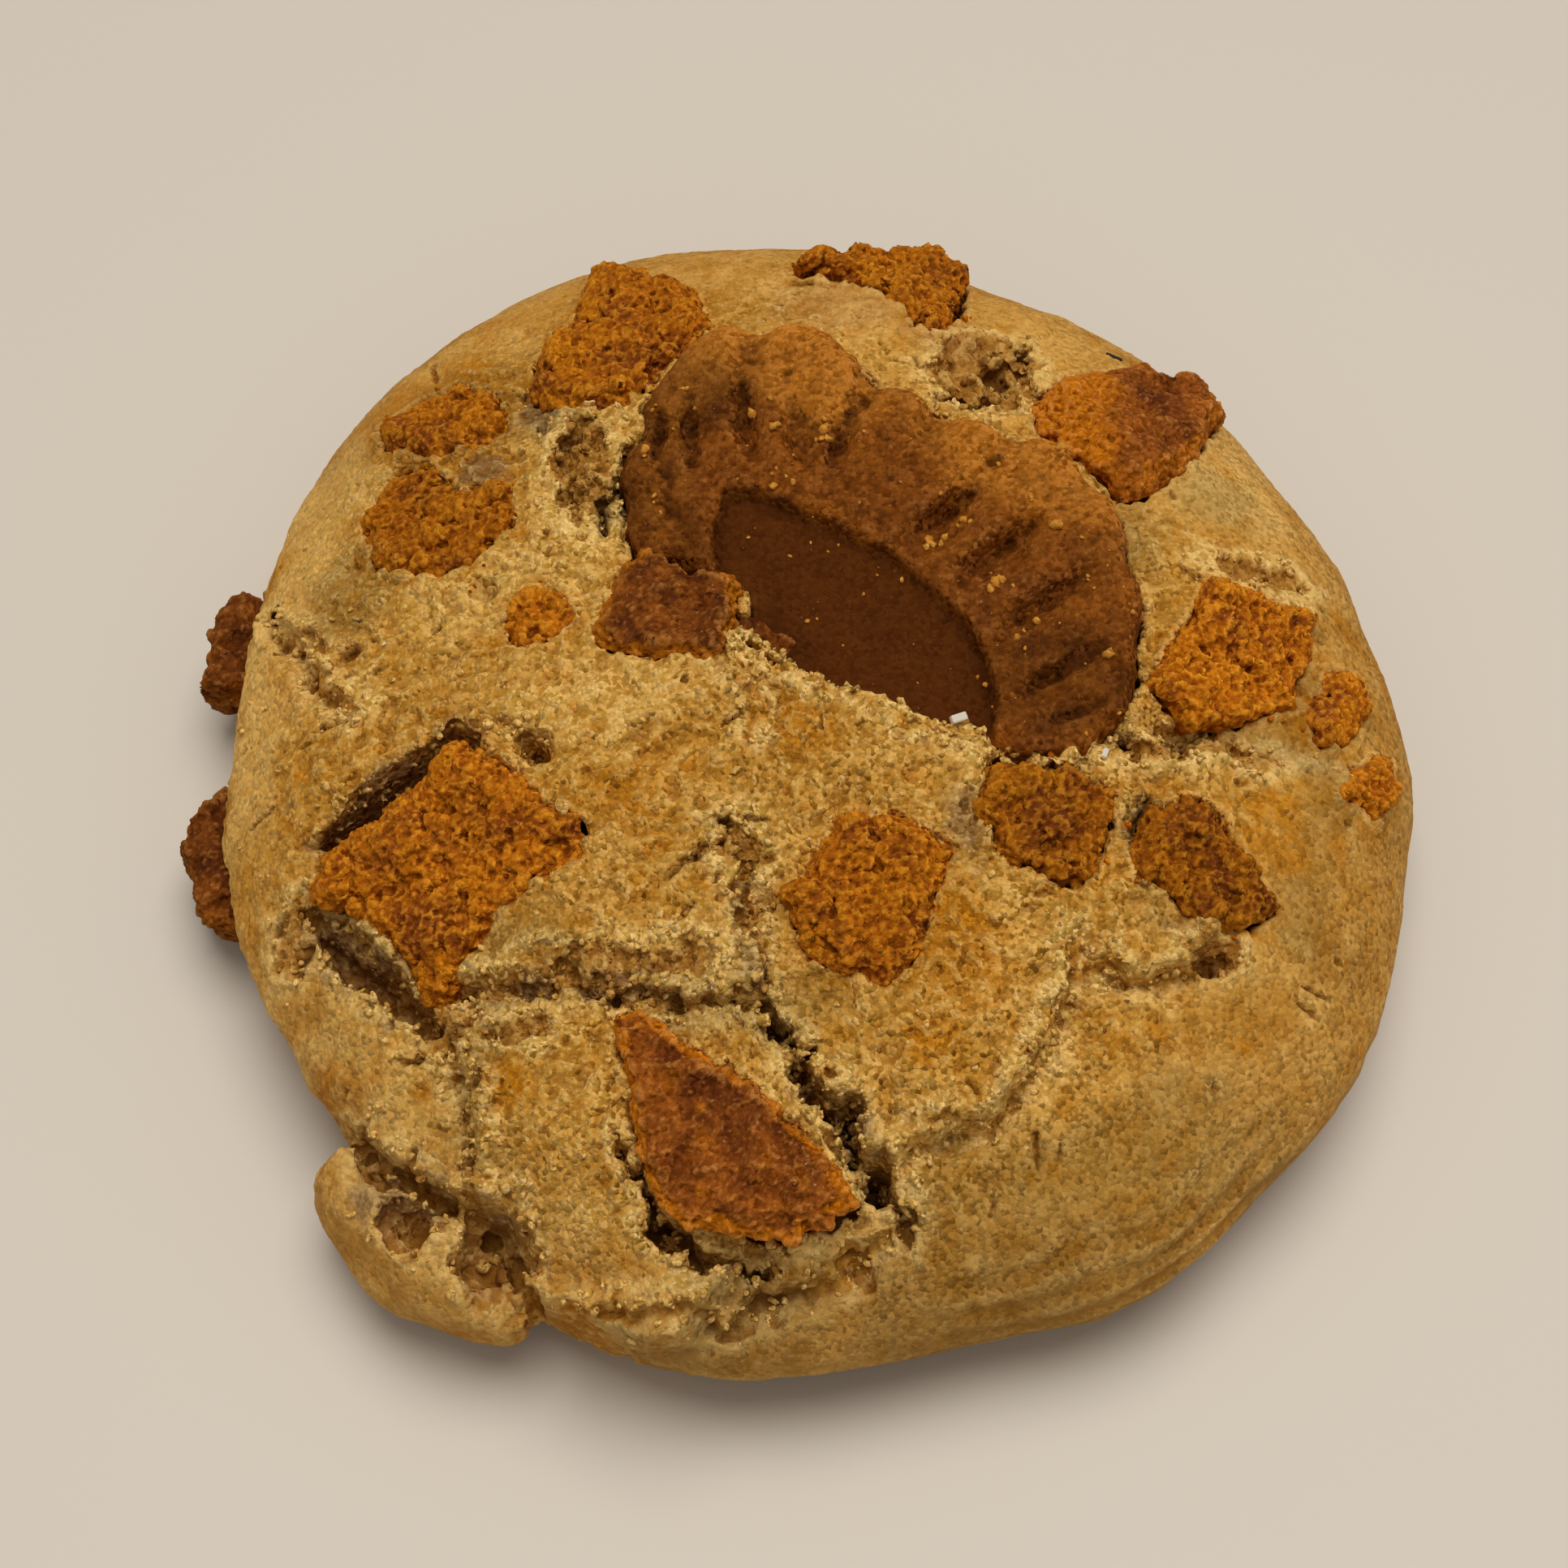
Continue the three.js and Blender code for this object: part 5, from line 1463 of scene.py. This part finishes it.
class COOKIE_OT_stage(bpy.types.Operator):
    """Sets the floor, the lights and the camera"""

    bl_idname = "cookie.stage"
    bl_label = "Set Stage"

    def execute(self, context):
        s = context.scene.cookie_stage
        self.floor(s)
        self.lights(s)
        self.camera(context, s)
        context.scene.view_settings.view_transform = "Standard"
        return {"FINISHED"}

    def floor(self, s):
        bpy.ops.mesh.primitive_plane_add(size=FLOOR_SIDE * MM, location=(0, 0, 0))
        floor = bpy.context.object
        floor.name = "floor"
        material = bpy.data.materials.new("pale_floor")
        material.use_nodes = True
        shader = material.node_tree.nodes["Principled BSDF"]
        shader.inputs["Base Color"].default_value = (*s.floor, 1)
        shader.inputs["Roughness"].default_value = 0.45
        floor.data.materials.append(material)

    def lights(self, s):
        lamp = bpy.data.lights.new("soft_lamp", "SUN")
        lamp.angle = s.softness
        lamp.energy = s.lamp
        lamp.color = WARM_LIGHT
        holder = bpy.data.objects.new("soft_lamp", lamp)
        bpy.context.scene.collection.objects.link(holder)
        holder.location = Vector(LAMP_PLACE) * MM
        holder.rotation_euler = (-holder.location).to_track_quat("-Z", "Y").to_euler()
        world = bpy.data.worlds.new("room")
        bpy.context.scene.world = world
        world.use_nodes = True
        background = world.node_tree.nodes["Background"]
        background.inputs["Color"].default_value = (*WARM_LIGHT, 1)
        background.inputs["Strength"].default_value = s.room

    def camera(self, context, s):
        target = Vector(CAMERA_TARGET) * MM
        back = Vector((0, -math.cos(s.elevation), math.sin(s.elevation)))
        data = bpy.data.cameras.new("camera")
        data.lens = s.lens
        data.sensor_width = SENSOR
        data.clip_start = 0.01
        holder = bpy.data.objects.new("camera", data)
        context.scene.collection.objects.link(holder)
        holder.location = target + back * s.distance
        holder.rotation_euler = (-back).to_track_quat("-Z", "Y").to_euler()
        context.scene.camera = holder


STEPS = [
    COOKIE_OT_dough, COOKIE_OT_biscuit, COOKIE_OT_porous_pieces, COOKIE_OT_skin_pieces, COOKIE_OT_crumbs,
    COOKIE_OT_sugar, COOKIE_OT_stage,
]


class COOKIE_PT_panel(bpy.types.Panel):
    """Lists the steps and settings of the cookie"""

    bl_label = "Cookie"
    bl_idname = "COOKIE_PT_panel"
    bl_space_type = "VIEW_3D"
    bl_region_type = "UI"
    bl_category = "Cookie"

    def draw(self, context):
        for step in STEPS:
            self.layout.operator(step.bl_idname)
        for name in SETTINGS:
            box = self.layout.box()
            group = getattr(context.scene, name)
            for key in type(group).__annotations__:
                box.prop(group, key)


SETTINGS = {
    "cookie_dough": DoughSettings,
    "cookie_biscuit": BiscuitSettings,
    "cookie_scatter": ScatterSettings,
    "cookie_stage": StageSettings,
}


def register():
    for kind in (*SETTINGS.values(), *STEPS, COOKIE_PT_panel):
        bpy.utils.register_class(kind)
    for name, kind in SETTINGS.items():
        setattr(bpy.types.Scene, name, PointerProperty(type=kind))


def unregister():
    for name in SETTINGS:
        delattr(bpy.types.Scene, name)
    for kind in (COOKIE_PT_panel, *reversed(STEPS), *reversed(SETTINGS.values())):
        bpy.utils.unregister_class(kind)


def main():
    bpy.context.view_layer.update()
    register()
    bpy.ops.cookie.dough()
    bpy.ops.cookie.biscuit()
    bpy.ops.cookie.porous_pieces()
    bpy.ops.cookie.skin_pieces()
    bpy.ops.cookie.crumbs()
    bpy.ops.cookie.sugar()
    bpy.ops.cookie.stage()


if __name__ == "__main__":
    main()
